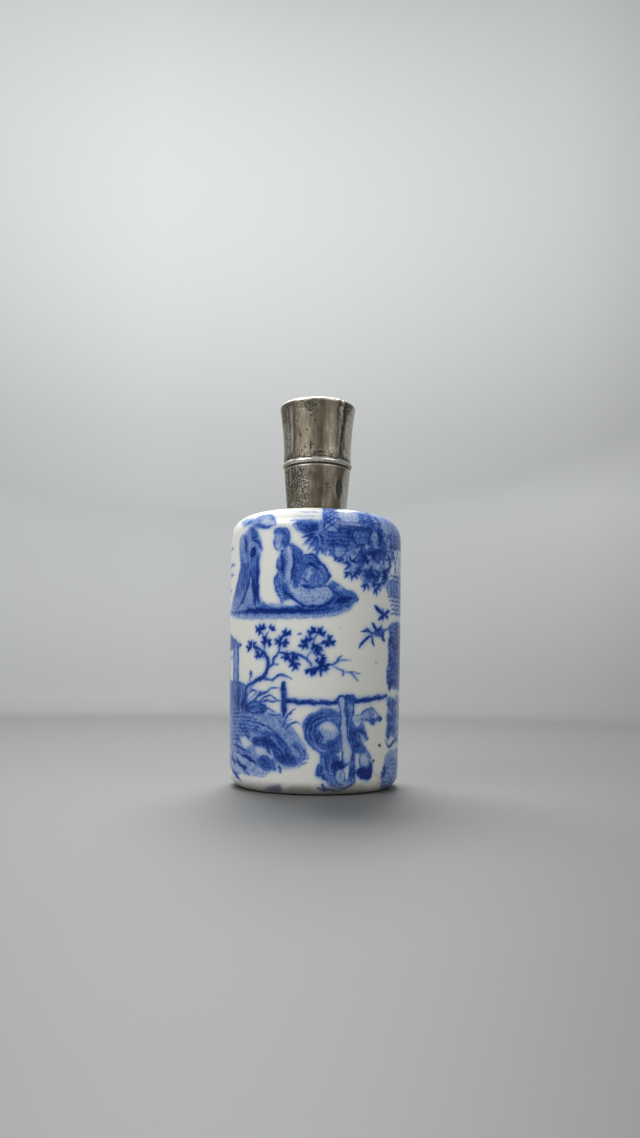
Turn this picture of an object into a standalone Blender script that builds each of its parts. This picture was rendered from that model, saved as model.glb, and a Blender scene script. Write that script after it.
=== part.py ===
"""A small round porcelain perfume bottle with a silver collar on its neck and a flared silver cap.

It stands on its foot ring on the plane z = 0, with its axis on +Z. All sizes below are real ones.
The three pieces are separate solids: the bottle, which is hollow with an open neck, the collar that is
fixed round the neck, and the cap that lifts off the collar's upper tube.
"""

import math

import bpy

MM = 0.001

# The porcelain bottle.
SHOULDER_DIAMETER = 31.2 * MM  # the body where its shoulder starts to turn in
FOOT_DIAMETER = 29.9 * MM  # the body just above its foot
BODY_HEIGHT = 48.0 * MM
BODY_BOW = 1.8  # 1 is a straight taper, and more keeps the upper body fuller
SHOULDER_ROUNDING = 3.8 * MM
FOOT_ROUNDING = 2.4 * MM
TOP_RISE = 0.6 * MM  # how far the top swells from the shoulder to the neck
BODY_WALL = 2.4 * MM
FLOOR_THICKNESS = 3.0 * MM
TOP_THICKNESS = 2.6 * MM
CAVITY_FLOOR_ROUNDING = 3.0 * MM
CAVITY_TOP_ROUNDING = 4.2 * MM
NECK_WALL = 1.6 * MM  # at the lip, which is a half round of this width
BORE_FLARE = 0.8 * MM  # rounding where the bore opens into the cavity
FOOT_RING_WIDTH = 2.0 * MM
BASE_RECESS = 0.7 * MM
RECESS_SLOPE = 0.6 * MM
LIP_PROUD = 0.6 * MM  # the porcelain lip above the collar's tube

# The silver collar and cap.
SHEET = 0.5 * MM
CAP_FOOT_DIAMETER = 12.44 * MM
CAP_TOP_DIAMETER = 14.06 * MM
CAP_HEIGHT = 12.15 * MM
CAP_EDGE_ROUNDING = 0.45 * MM
CAP_DOME = 0.3 * MM
FLARE_POWER = 2.0  # 1 is a straight cone, and more curves the flare
BEAD_HEIGHT = 0.85 * MM
BEAD_PROUD = 0.23 * MM
COLLAR_SET_IN = 0.1 * MM  # the collar's top edge inside the foot of the cap's wall
COLLAR_TAPER = 0.65 * MM  # how much less the collar's radius is at its foot
COLLAR_HEIGHT = 8.5 * MM
COLLAR_BEVEL = 0.15 * MM
TUBE_HEIGHT = 3.6 * MM  # the tube that stands up inside the cap

# Gaps between the pieces.
SEAT_GAP = 0.3 * MM
NECK_CLEARANCE = 0.3 * MM
CAP_CLEARANCE = 0.3 * MM

# Fineness of the solids.
TURN_STEPS = 60
CORNER_STEPS = 6
SMALL_ARC_STEPS = 4
WALL_STEPS = 4
CROWN_STEPS = 3
SMOOTH_BELOW = math.radians(40)
MERGE_DISTANCE = 0.01 * MM

# Places and radii that follow from the sizes above.
SHOULDER_RADIUS = SHOULDER_DIAMETER / 2
FOOT_RADIUS = FOOT_DIAMETER / 2
SHOULDER_Z = BODY_HEIGHT - SHOULDER_ROUNDING
CAP_FOOT_RADIUS = CAP_FOOT_DIAMETER / 2
CAP_TOP_RADIUS = CAP_TOP_DIAMETER / 2
COLLAR_TOP_RADIUS = CAP_FOOT_RADIUS - COLLAR_SET_IN
COLLAR_FOOT_RADIUS = COLLAR_TOP_RADIUS - COLLAR_TAPER
TUBE_OUTER_RADIUS = CAP_FOOT_RADIUS - SHEET - CAP_CLEARANCE
TUBE_INNER_RADIUS = TUBE_OUTER_RADIUS - SHEET
NECK_TOP_RADIUS = TUBE_INNER_RADIUS - NECK_CLEARANCE
NECK_ROOT_RADIUS = COLLAR_FOOT_RADIUS - SHEET - NECK_CLEARANCE
BORE_RADIUS = NECK_TOP_RADIUS - NECK_WALL
COLLAR_FOOT_Z = BODY_HEIGHT + TOP_RISE + SEAT_GAP
LEDGE_Z = COLLAR_FOOT_Z + COLLAR_HEIGHT
TUBE_TOP_Z = LEDGE_Z + TUBE_HEIGHT
LIP_TOP_Z = TUBE_TOP_Z + LIP_PROUD
CAP_FOOT_Z = LEDGE_Z + SEAT_GAP
CAP_TOP_Z = CAP_FOOT_Z + CAP_HEIGHT
CAP_RIM_Z = CAP_TOP_Z - CAP_DOME


def clear_scene():
    for thing in list(bpy.data.objects):
        bpy.data.objects.remove(thing)


def new_collection(name):
    collection = bpy.data.collections.new(name)
    bpy.context.scene.collection.children.link(collection)
    return collection


def material(name, colour, roughness, metallic):
    made = bpy.data.materials.new(name)
    made.use_nodes = True
    shader = made.node_tree.nodes["Principled BSDF"]
    shader.inputs["Base Color"].default_value = (*colour, 1)
    shader.inputs["Roughness"].default_value = roughness
    shader.inputs["Metallic"].default_value = metallic
    return made


def arc(centre_r, centre_z, radius, start_degrees, end_degrees, steps):
    """Points (r, z) along an arc, both ends included."""
    points = []
    for i in range(steps + 1):
        angle = math.radians(start_degrees + (end_degrees - start_degrees) * i / steps)
        points.append((centre_r + radius * math.cos(angle), centre_z + radius * math.sin(angle)))
    return points


def wall(radius_at, low_z, high_z, inset):
    """Points (r, z) up a turned wall, set in from the radius that radius_at gives, both ends included."""
    points = []
    for i in range(WALL_STEPS + 1):
        z = low_z + (high_z - low_z) * i / WALL_STEPS
        points.append((radius_at(z) - inset, z))
    return points


def body_radius(z):
    """The outer radius of the porcelain body, which tapers towards the foot in a slight bow."""
    share_down = (SHOULDER_Z - z) / (SHOULDER_Z - FOOT_ROUNDING)
    return SHOULDER_RADIUS - (SHOULDER_RADIUS - FOOT_RADIUS) * max(0, share_down) ** BODY_BOW


def cap_radius(z):
    """The outer radius of the cap's wall, which flares towards its top."""
    flare_foot = CAP_FOOT_Z + BEAD_HEIGHT
    share_up = (z - flare_foot) / (CAP_RIM_Z - CAP_EDGE_ROUNDING - flare_foot)
    return CAP_FOOT_RADIUS + (CAP_TOP_RADIUS - CAP_FOOT_RADIUS) * max(0, share_up) ** FLARE_POWER


def cavity_profile():
    """The inside of the bottle, from the middle of its floor up to the foot of the bore."""
    top_z = BODY_HEIGHT - TOP_THICKNESS
    low_z = FLOOR_THICKNESS + CAVITY_FLOOR_ROUNDING
    high_z = top_z - CAVITY_TOP_ROUNDING
    low_r = body_radius(low_z) - BODY_WALL - CAVITY_FLOOR_ROUNDING
    high_r = body_radius(high_z) - BODY_WALL - CAVITY_TOP_ROUNDING
    points = [(0, FLOOR_THICKNESS)]
    points += arc(low_r, low_z, CAVITY_FLOOR_ROUNDING, -90, 0, SMALL_ARC_STEPS)
    points += wall(body_radius, low_z, high_z, BODY_WALL)[1:-1]
    points += arc(high_r, high_z, CAVITY_TOP_ROUNDING, 0, 90, SMALL_ARC_STEPS)
    points += arc(BORE_RADIUS + BORE_FLARE, top_z + BORE_FLARE, BORE_FLARE, 270, 180, 2)
    return points


def bottle_profile():
    """Up the inside, over the half round lip, down the neck and the body, and under the foot to the middle."""
    lip = NECK_WALL / 2
    shoulder_r = SHOULDER_RADIUS - SHOULDER_ROUNDING
    foot_r = FOOT_RADIUS - FOOT_ROUNDING
    recess_r = foot_r - FOOT_RING_WIDTH
    points = cavity_profile()
    points += arc(BORE_RADIUS + lip, LIP_TOP_Z - lip, lip, 180, 0, SMALL_ARC_STEPS)
    for i in range(CROWN_STEPS):
        share = i / CROWN_STEPS
        rise = TOP_RISE * math.cos(share * math.pi / 2) ** 2
        points.append((NECK_ROOT_RADIUS + (shoulder_r - NECK_ROOT_RADIUS) * share, BODY_HEIGHT + rise))
    points += arc(shoulder_r, SHOULDER_Z, SHOULDER_ROUNDING, 90, 0, CORNER_STEPS)
    points += wall(body_radius, FOOT_ROUNDING, SHOULDER_Z, 0)[-2:0:-1]
    points += arc(foot_r, FOOT_ROUNDING, FOOT_ROUNDING, 0, -90, CORNER_STEPS)
    points += [(recess_r, 0), (recess_r - RECESS_SLOPE, BASE_RECESS), (0, BASE_RECESS)]
    return points


def collar_profile():
    """A closed ring: the tube that enters the cap, the ledge under the cap and the skirt round the neck."""
    return [
        (TUBE_INNER_RADIUS, TUBE_TOP_Z),
        (TUBE_OUTER_RADIUS, TUBE_TOP_Z),
        (TUBE_OUTER_RADIUS, LEDGE_Z),
        (COLLAR_TOP_RADIUS - COLLAR_BEVEL, LEDGE_Z),
        (COLLAR_TOP_RADIUS, LEDGE_Z - COLLAR_BEVEL),
        (COLLAR_FOOT_RADIUS, COLLAR_FOOT_Z),
        (COLLAR_FOOT_RADIUS - SHEET, COLLAR_FOOT_Z),
        (COLLAR_TOP_RADIUS - SHEET, LEDGE_Z - SHEET),
        (TUBE_INNER_RADIUS, LEDGE_Z - SHEET),
    ]


def cap_profile():
    """From the middle of the domed top, down the flared wall, round the bead and up the inside."""
    edge_z = CAP_RIM_Z - CAP_EDGE_ROUNDING
    edge_r = cap_radius(edge_z) - CAP_EDGE_ROUNDING
    ceiling_z = CAP_RIM_Z - SHEET
    bead = BEAD_HEIGHT / 2
    bead_r = CAP_FOOT_RADIUS + BEAD_PROUD - bead
    meets_wall = math.degrees(math.acos((bead - BEAD_PROUD) / bead))
    points = []
    for i in range(CROWN_STEPS):
        share = i / CROWN_STEPS
        points.append((edge_r * share, CAP_RIM_Z + CAP_DOME * (1 - share**2)))
    points += arc(edge_r, edge_z, CAP_EDGE_ROUNDING, 90, 0, SMALL_ARC_STEPS)
    points += wall(cap_radius, CAP_FOOT_Z + BEAD_HEIGHT, edge_z, 0)[-2::-1]
    points += arc(bead_r, CAP_FOOT_Z + bead, bead, meets_wall, -90, SMALL_ARC_STEPS)
    points += wall(cap_radius, CAP_FOOT_Z, ceiling_z, SHEET)
    points.append((0, ceiling_z + CAP_DOME))
    return points


def turned(name, profile, is_ring, finish, collection):
    """One solid of revolution about +Z, from a profile of (r, z) points that runs down its outer side."""
    edges = [(i, i + 1) for i in range(len(profile) - 1)]
    if is_ring:
        edges.append((len(profile) - 1, 0))
    outline = bpy.data.meshes.new(name + "_outline")
    outline.from_pydata([(r, 0, z) for r, z in profile], edges, [])
    piece = bpy.data.objects.new(name, outline)
    collection.objects.link(piece)
    screw = piece.modifiers.new("Turn", "SCREW")
    screw.axis = "Z"
    screw.angle = math.tau
    screw.steps = TURN_STEPS
    screw.render_steps = TURN_STEPS
    screw.use_merge_vertices = True
    screw.merge_threshold = MERGE_DISTANCE
    bpy.context.view_layer.update()
    graph = bpy.context.evaluated_depsgraph_get()
    solid = bpy.data.meshes.new_from_object(piece.evaluated_get(graph))
    solid.name = name
    solid.shade_smooth()
    solid.set_sharp_from_angle(angle=SMOOTH_BELOW)
    solid.materials.append(finish)
    piece.modifiers.clear()
    piece.data = solid
    bpy.data.meshes.remove(outline)
    return piece


def main():
    clear_scene()
    collection = new_collection("perfume_bottle")
    porcelain = material("white_glazed_porcelain", (0.78, 0.79, 0.8), 0.12, 0)
    silver = material("tarnished_silver", (0.42, 0.39, 0.34), 0.28, 1)
    turned("porcelain_bottle", bottle_profile(), False, porcelain, collection)
    turned("silver_collar", collar_profile(), True, silver, collection)
    turned("silver_cap", cap_profile(), False, silver, collection)


main()
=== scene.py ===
"""A small round porcelain perfume bottle with a blue printed garden scene, a silver collar and a silver cap.

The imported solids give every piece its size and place. The bottle stands on its foot, with the side that
the camera sees towards -Y.
"""

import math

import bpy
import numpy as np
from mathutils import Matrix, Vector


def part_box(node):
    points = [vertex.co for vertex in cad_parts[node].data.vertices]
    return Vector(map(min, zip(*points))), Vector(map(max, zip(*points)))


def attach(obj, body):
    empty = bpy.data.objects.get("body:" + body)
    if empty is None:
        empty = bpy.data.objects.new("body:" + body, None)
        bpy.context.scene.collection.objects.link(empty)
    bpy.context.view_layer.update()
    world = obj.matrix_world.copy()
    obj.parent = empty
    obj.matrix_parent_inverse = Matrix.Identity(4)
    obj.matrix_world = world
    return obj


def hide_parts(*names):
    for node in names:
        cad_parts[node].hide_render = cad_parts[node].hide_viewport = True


bl_info = {
    "name": "Porcelain Perfume Bottle",
    "version": (1, 0, 0),
    "blender": (4, 5, 0),
    "location": "View3D > Sidebar > Perfume Bottle",
    "description": "Builds a printed porcelain perfume bottle with a tarnished silver collar and cap",
    "category": "Add Mesh",
}

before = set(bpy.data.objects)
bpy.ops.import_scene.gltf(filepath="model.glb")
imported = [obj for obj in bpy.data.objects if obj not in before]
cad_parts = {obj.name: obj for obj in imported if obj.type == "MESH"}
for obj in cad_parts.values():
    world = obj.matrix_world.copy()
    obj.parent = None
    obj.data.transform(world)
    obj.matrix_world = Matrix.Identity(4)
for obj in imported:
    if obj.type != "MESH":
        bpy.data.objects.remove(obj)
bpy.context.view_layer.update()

MM = 0.001
MERGE_REACH = 0.002 * MM
SMOOTH_BELOW = math.radians(40)
SPREAD = (0.7549, 0.5698)  # steps that spread places evenly without lining any two up
BOTTLE_LOW, BOTTLE_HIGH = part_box("porcelain_bottle")
COLLAR_LOW, COLLAR_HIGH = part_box("silver_collar")
CAP_LOW, CAP_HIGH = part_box("silver_cap")


def length(name, description, default):
    """A size that a user can change, in metres."""
    return bpy.props.FloatProperty(
        name=name, description=description, default=default, unit="LENGTH", precision=5
    )


def colour(name, description, default):
    """A colour that a user can change."""
    return bpy.props.FloatVectorProperty(name=name, description=description, default=default, subtype="COLOR")


class BottleSizes(bpy.types.PropertyGroup):
    """Sizes of the porcelain body. Its overall width and height come from the frame."""

    shoulder_diameter: length(
        "Shoulder diameter",
        "Width of the body where its shoulder starts to turn in",
        BOTTLE_HIGH.x - BOTTLE_LOW.x,
    )
    lip_height: length("Lip height", "Height of the porcelain lip inside the cap", BOTTLE_HIGH.z)
    foot_diameter: length("Foot diameter", "Width of the body just above its foot", 29.9 * MM)
    body_height: length("Body height", "Height of the body up to its flat top", 48.0 * MM)
    body_bow: bpy.props.FloatProperty(
        name="Bow of the wall",
        description="1 is a straight taper, and more keeps the upper body fuller",
        default=1.8,
    )
    shoulder_rounding: length("Shoulder rounding", "Radius of the shoulder's edge", 3.8 * MM)
    foot_rounding: length("Foot rounding", "Radius of the edge round the foot", 2.4 * MM)
    top_rise: length("Rise of the top", "How far the top swells from the shoulder to the neck", 0.6 * MM)
    wall: length("Wall", "Thickness of the porcelain wall", 2.4 * MM)
    floor: length("Floor", "Thickness of the porcelain floor", 3.0 * MM)
    neck_radius: length("Neck radius", "Outer radius of the neck inside the collar", 4.62 * MM)
    neck_wall: length("Neck wall", "Thickness of the neck, whose lip is a half round of this width", 1.6 * MM)
    foot_ring: length("Foot ring", "Width of the ring that the bottle stands on", 2.0 * MM)
    recess: length("Base recess", "Depth of the recess under the base", 0.7 * MM)


class SilverSizes(bpy.types.PropertyGroup):
    """Sizes of the silver collar and cap. Their heights and greatest widths come from the frame."""

    sheet: length("Sheet", "Thickness of the silver", 0.5 * MM)
    cap_top_diameter: length("Cap diameter at the top", "Width of the cap at its rim", CAP_HIGH.x - CAP_LOW.x)
    cap_foot_diameter: length(
        "Cap diameter at the foot", "Width of the cap's wall above its bead", 12.44 * MM
    )
    cap_edge: length("Cap edge", "Rounding of the cap's upper edge", 0.45 * MM)
    cap_dome: length("Cap dome", "How far the cap's top is domed", 0.3 * MM)
    bead_height: length("Bead height", "Height of the bead round the cap's foot", 0.85 * MM)
    bead_proud: length("Bead proud", "How far the bead stands out from the cap's foot", 0.23 * MM)
    collar_top_diameter: length(
        "Collar diameter at the top", "Width of the collar at its ledge", COLLAR_HIGH.x - COLLAR_LOW.x
    )
    collar_foot_diameter: length(
        "Collar diameter at the foot", "Width of the collar where it meets the porcelain", 10.94 * MM
    )
    tube_diameter: length("Tube diameter", "Width of the tube that enters the cap", 10.84 * MM)
    tube_height: length("Tube height", "Height of the tube above the ledge", 3.6 * MM)


class BottleColours(bpy.types.PropertyGroup):
    """Colours of the glaze, the print and the silver."""

    glaze: colour("Glaze", "The bare porcelain", (0.79, 0.79, 0.735))
    pale_wash: colour("Pale wash", "The palest tone of the print", (0.34, 0.44, 0.67))
    wash: colour("Wash", "The light middle tone of the print", (0.082, 0.175, 0.5))
    cobalt: colour("Cobalt", "The dark middle tone of the print", (0.021, 0.068, 0.33))
    deep_cobalt: colour("Deep cobalt", "The darkest tone of the print", (0.004, 0.022, 0.18))
    # Also the colour of the painted highlights and reflections on the silver.
    silver: colour("Silver", "Rubbed silver on the edges", (0.93, 0.9, 0.83))
    tarnish: colour("Tarnish", "The brown-grey tarnish on the walls", (0.225, 0.196, 0.146))
    # The painted shade on the silver walls darkens them towards this colour.
    dark_tarnish: colour("Dark tarnish", "The darkest streaks on the silver walls", (0.105, 0.086, 0.06))
    pale_tarnish: colour("Pale tarnish", "The palest streaks on the silver walls", (0.44, 0.395, 0.315))
    # Also the colour of the painted shadow at the foot and of the darker bands at the foot and under the
    # collar.
    grime: colour("Grime", "The brown stains near the foot", (0.3, 0.22, 0.14))
    stain: colour("Stain", "The black tarnish in pits and creases", (0.012, 0.01, 0.007))


def select_none():
    """Leaves edit mode and deselects everything."""
    if bpy.context.mode != "OBJECT":
        bpy.ops.object.mode_set(mode="OBJECT")
    bpy.ops.object.select_all(action="DESELECT")


def arc(centre, radius, start_degrees, end_degrees, steps):
    """Points (r, z) along an arc, both ends included."""
    points = []
    for i in range(steps + 1):
        angle = math.radians(start_degrees + (end_degrees - start_degrees) * i / steps)
        points.append((centre[0] + radius * math.cos(angle), centre[1] + radius * math.sin(angle)))
    return points


def straight(start, end, steps):
    """Points (r, z) along a straight line, both ends included."""
    points = []
    for i in range(steps + 1):
        share = i / steps
        points.append((start[0] + (end[0] - start[0]) * share, start[1] + (end[1] - start[1]) * share))
    return points


def turned_piece(name, profile, sectors):
    """Pulls one point along a profile of (r, z) and spins the line round +Z, sector by sector.

    The line starts at the back. A sector is its angle in degrees and its number of columns.
    """
    select_none()
    bpy.ops.mesh.primitive_plane_add(size=MM, location=(0, 0, 0))
    piece = bpy.context.object
    piece.name = name
    piece.data.name = name
    bpy.ops.object.mode_set(mode="EDIT")
    bpy.ops.mesh.select_all(action="SELECT")
    bpy.ops.mesh.merge(type="CENTER")
    bpy.ops.transform.translate(value=(0, profile[0][0], profile[0][1]))
    for (r0, z0), (r1, z1) in zip(profile, profile[1:]):
        bpy.ops.mesh.extrude_region_move(TRANSFORM_OT_translate={"value": (0, r1 - r0, z1 - z0)})
    bpy.ops.mesh.select_all(action="SELECT")
    for degrees, columns in sectors:
        bpy.ops.mesh.spin(steps=columns, angle=math.radians(degrees), center=(0, 0, 0), axis=(0, 0, 1))
    bpy.ops.mesh.select_all(action="SELECT")
    bpy.ops.mesh.remove_doubles(threshold=MERGE_REACH)
    bpy.ops.mesh.normals_make_consistent(inside=False)
    bpy.ops.object.mode_set(mode="OBJECT")
    bpy.ops.object.shade_smooth_by_angle(angle=SMOOTH_BELOW)
    return piece


def vertex_places(piece):
    """The places of a piece's vertices, one row for each."""
    places = np.zeros(len(piece.data.vertices) * 3)
    piece.data.vertices.foreach_get("co", places)
    return places.reshape(-1, 3)


def round_and_up(places):
    """Angle round +Z from the middle of the front, radius and height of each place, the last two in mm."""
    angle = np.arctan2(places[:, 0], -places[:, 1])
    return angle, np.hypot(places[:, 0], places[:, 1]) / MM, places[:, 2] / MM


def keep_tones(piece, name, tones):
    """Stores a tone for each vertex, for the piece's material."""
    layer = piece.data.attributes.new(name, "FLOAT", "POINT")
    layer.data.foreach_set("value", tones.astype(np.float32))


def press_in(piece, depths):
    """Pushes the vertices in along their normals, by depths in mm."""
    deepest = float(depths.max())
    group = piece.vertex_groups.new(name="dents")
    for i in np.flatnonzero(depths > LEAST_DENT):
        group.add([int(i)], float(depths[i] / deepest), "REPLACE")
    dent = piece.modifiers.new("Dents", "DISPLACE")
    dent.direction = "NORMAL"
    dent.mid_level = 0
    dent.strength = -deepest * MM
    dent.vertex_group = group.name
    bpy.ops.object.modifier_apply(modifier=dent.name)
    piece.vertex_groups.clear()


def smooth(points, closed=False, steps=6):
    """A curve through the points, as a finer list of points."""
    p = np.array(points, float)
    if len(p) == 2 and not closed:
        return p
    if closed:
        p = np.vstack([p[-1:], p, p[:2]])
    else:
        p = np.vstack([2 * p[0] - p[1], p, 2 * p[-1] - p[-2]])
    t = (np.arange(steps) / steps)[:, None]
    runs = []
    for a, b, c, d in zip(p, p[1:], p[2:], p[3:]):
        square = 2 * a - 5 * b + 4 * c - d
        cube = 3 * b - a - 3 * c + d
        runs.append(0.5 * (2 * b + (c - a) * t + square * t**2 + cube * t**3))
    if not closed:
        runs.append(p[-2:-1])
    return np.vstack(runs)


TAPER = 0.3  # the share of a pen line's length over which each end gets thinner


class Drawing:
    """Marks on an unrolled surface: across in mm from the middle of the front, and up in mm from the foot.

    Each mark moves the tone of the spots that it covers towards its own. Edge is how soft its border is.
    """

    def __init__(self, across, up, round_length, edge):
        self.across = across
        self.up = up
        self.round_length = round_length
        self.edge = edge
        self.tones = np.zeros(len(across))

    def near(self, curve, margin):
        """The spots near a curve, with their place across measured on the curve's side of the seam."""
        middle = curve[:, 0].mean()
        across = (self.across - middle + self.round_length / 2) % self.round_length - self.round_length / 2
        low = curve.min(axis=0) - margin
        high = curve.max(axis=0) + margin
        fits_across = (across > low[0] - middle) & (across < high[0] - middle)
        where = np.flatnonzero(fits_across & (self.up > low[1]) & (self.up < high[1]))
        return where, np.c_[across[where] + middle, self.up[where]]

    def lay(self, where, cover, tone):
        """Moves the spots' tones towards a tone, as far as each spot is covered."""
        self.tones[where] += np.clip(cover, 0, 1) * (tone - self.tones[where])

    def distance(self, spots, curve):
        """How far each spot is from the curve, and how far along it the nearest place is, from 0 to 1."""
        start = curve[:-1]
        step = curve[1:] - start
        length = np.maximum((step**2).sum(1), 1e-9)
        away = spots[:, None] - start
        along = np.clip((away * step).sum(2) / length, 0, 1)
        gap = np.sqrt(((away - along[..., None] * step) ** 2).sum(2))
        nearest = gap.argmin(1)
        row = np.arange(len(spots))
        return gap[row, nearest], (nearest + along[row, nearest]) / len(step)

    def stroke(self, points, width=0.26, tone=0.9, ends=(0.4, 0.4)):
        """A pen line. Ends are its width there, as shares of its full width."""
        curve = smooth(points)
        where, spots = self.near(curve, width + self.edge)
        if len(where) == 0:
            return
        gap, along = self.distance(spots, curve)
        start = ends[0] + (1 - ends[0]) * along / TAPER
        end = ends[1] + (1 - ends[1]) * (1 - along) / TAPER
        thin = np.minimum(start, end)
        half = width / 2 * np.minimum(1, thin)
        self.lay(where, 0.5 + (half - gap) / self.edge, tone)

    def leaf(self, at, degrees, length=1.3, width=0.5, tone=0.9, bend=0.0):
        """A pointed leaf from its stalk end, turned by degrees from the way across."""
        angle = math.radians(degrees)
        along = np.array([math.cos(angle), math.sin(angle)])
        side = np.array([-math.sin(angle), math.cos(angle)])
        spine = ((0, 0), (0.5, 1), (1, 0))
        points = [np.array(at) + length * (share * along + bend * bow * side) for share, bow in spine]
        curve = smooth(points)
        where, spots = self.near(curve, width + self.edge)
        if len(where) == 0:
            return
        gap, share = self.distance(spots, curve)
        half = width / 2 * np.sin(math.pi * np.clip(0.12 + 0.85 * share, 0, 1)) ** 0.8
        self.lay(where, 0.5 + (half - gap) / self.edge, tone)

    def star(self, at, size=1.2, turn=0.0, count=5, gap=50.0, width=0.48, tone=0.92):
        """Leaves that fan out from one place, round the direction of turn."""
        for i in range(count):
            off = i - (count - 1) / 2
            self.leaf(at, turn + gap * off, size * (1 - 0.12 * abs(off)), width, tone, 0.08 * (-1) ** i)

    def inside(self, points):
        """The spots near a closed outline, and how far inside it each one is."""
        ring = smooth(points, closed=True)
        ring = np.vstack([ring, ring[:1]])
        where, spots = self.near(ring, self.edge)
        if len(where) == 0:
            return where, spots, np.zeros(0)
        gap, _ = self.distance(spots, ring)
        a = ring[:-1]
        b = ring[1:]
        x = spots[:, :1]
        y = spots[:, 1:]
        spans = (a[:, 1] > y) != (b[:, 1] > y)
        rise = np.where(b[:, 1] == a[:, 1], 1e-9, b[:, 1] - a[:, 1])
        crossing = (b[:, 0] - a[:, 0]) * (y - a[:, 1]) / rise + a[:, 0]
        odd = (spans & (x < crossing)).sum(1) % 2 == 1
        return where, spots, np.where(odd, gap, -gap)

    def patch(self, points, tone, line=0.0, line_tone=0.95):
        """A filled area, with a drawn edge if line is more than nothing."""
        where, _, depth = self.inside(points)
        self.lay(where, 0.5 + depth / self.edge, tone)
        if line:
            self.stroke([*points, points[0]], line, line_tone, (1, 1))

    def blob(self, middle, size, tone):
        """An oval patch of that width and height."""
        turns = np.arange(8) * math.tau / 8
        across = middle[0] + size[0] / 2 * np.cos(turns)
        up = middle[1] + size[1] / 2 * np.sin(turns)
        self.patch(np.c_[across, up], tone)

    def hatch(self, points, degrees, pitch=0.5, tone=0.8, weight=0.5, wave=0.0):
        """Engraved lines over an area. Weight is the share of the pitch that is ink."""
        where, spots, depth = self.inside(points)
        angle = math.radians(degrees)
        along = spots @ np.array([math.cos(angle), math.sin(angle)])
        off = spots @ np.array([-math.sin(angle), math.cos(angle)]) + wave * np.sin(along * 1.7)
        phase = np.abs((off / pitch) % 1 - 0.5) * pitch
        cover = np.clip(0.5 + (weight * pitch / 2 - phase) / self.edge, 0, 1)
        self.lay(where, cover * np.clip(0.5 + depth / self.edge, 0, 1), tone)

    def folds(self, first, last, count, width=0.24, tone=0.85):
        """Lines that run between two curves with as many points each, as folds of cloth do."""
        a = np.array(first, float)
        b = np.array(last, float)
        for share in np.linspace(0, 1, count):
            self.stroke(a + (b - a) * share, width, tone, (0.3, 0.2))

    def dots(self, points, size=0.3, tone=0.85):
        """Round spots of one size."""
        for across, up in points:
            self.stroke([(across, up), (across + 0.02, up)], size, tone, (1, 1))


# Fineness of the meshes. A sector is its angle in degrees and its number of columns, from the back round.
BODY_SECTORS = [(90, 52), (28, 28), (62, 90), (62, 90), (28, 28), (90, 52)]
SILVER_SECTORS = [(90, 60), (180, 200), (90, 60)]
HOLLOW_CORNER_STEPS = 4
LIP_STEPS = 6
LEDGE_STEPS = 3
CAP_EDGE_STEPS = 6
BEAD_STEPS = 12
STAGE_COLUMNS = 96
FLOOR_RINGS = 12
COVE_RINGS = 16
PRINT_ROW = 0.21 * MM
SILVER_ROW = 0.14 * MM

# The print, in mm on the unrolled wall of the body.
PRINT_RADIUS = 15.3
PRINT_EDGE = 0.22
HALO_ROUNDS = 22
UNSTEADY_REACH = 0.07
SHOULDER_LINE = 44.5
SHOULDER_PAINTED_SHEEN = 0.28  # painted sheen: how much paler the ink is made above that line, where the light from above falls on the shoulder
SHOULDER_PAINTED_SHEEN_HEIGHT = 2
STAIN_AND_SHADE_EDGE = 0.9
GLAZE_IOR = 1.4
GLAZE_ROUGHNESS = 0.15
UNDER_PRINT = -40.0  # where a spot that takes no print is counted to lie

# The marks on the silver, in mm on its unrolled wall.
SILVER_RADIUS = 6.5
SILVER_QUARTER = 10.2  # a quarter of the way round
MARK_EDGE = 0.16
SOFT_MARK_EDGE = 0.7
LEAST_DENT = 0.0005
SILVER_ROUGHNESS = 0.4


def body_radius(sizes, z):
    """The outer radius of the porcelain body, which tapers towards the foot in a slight bow."""
    shoulder_z = sizes.body_height - sizes.shoulder_rounding
    share_down = (shoulder_z - z) / (shoulder_z - sizes.foot_rounding)
    taper = (sizes.shoulder_diameter - sizes.foot_diameter) / 2
    return sizes.shoulder_diameter / 2 - taper * max(0, share_down) ** sizes.body_bow


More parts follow.
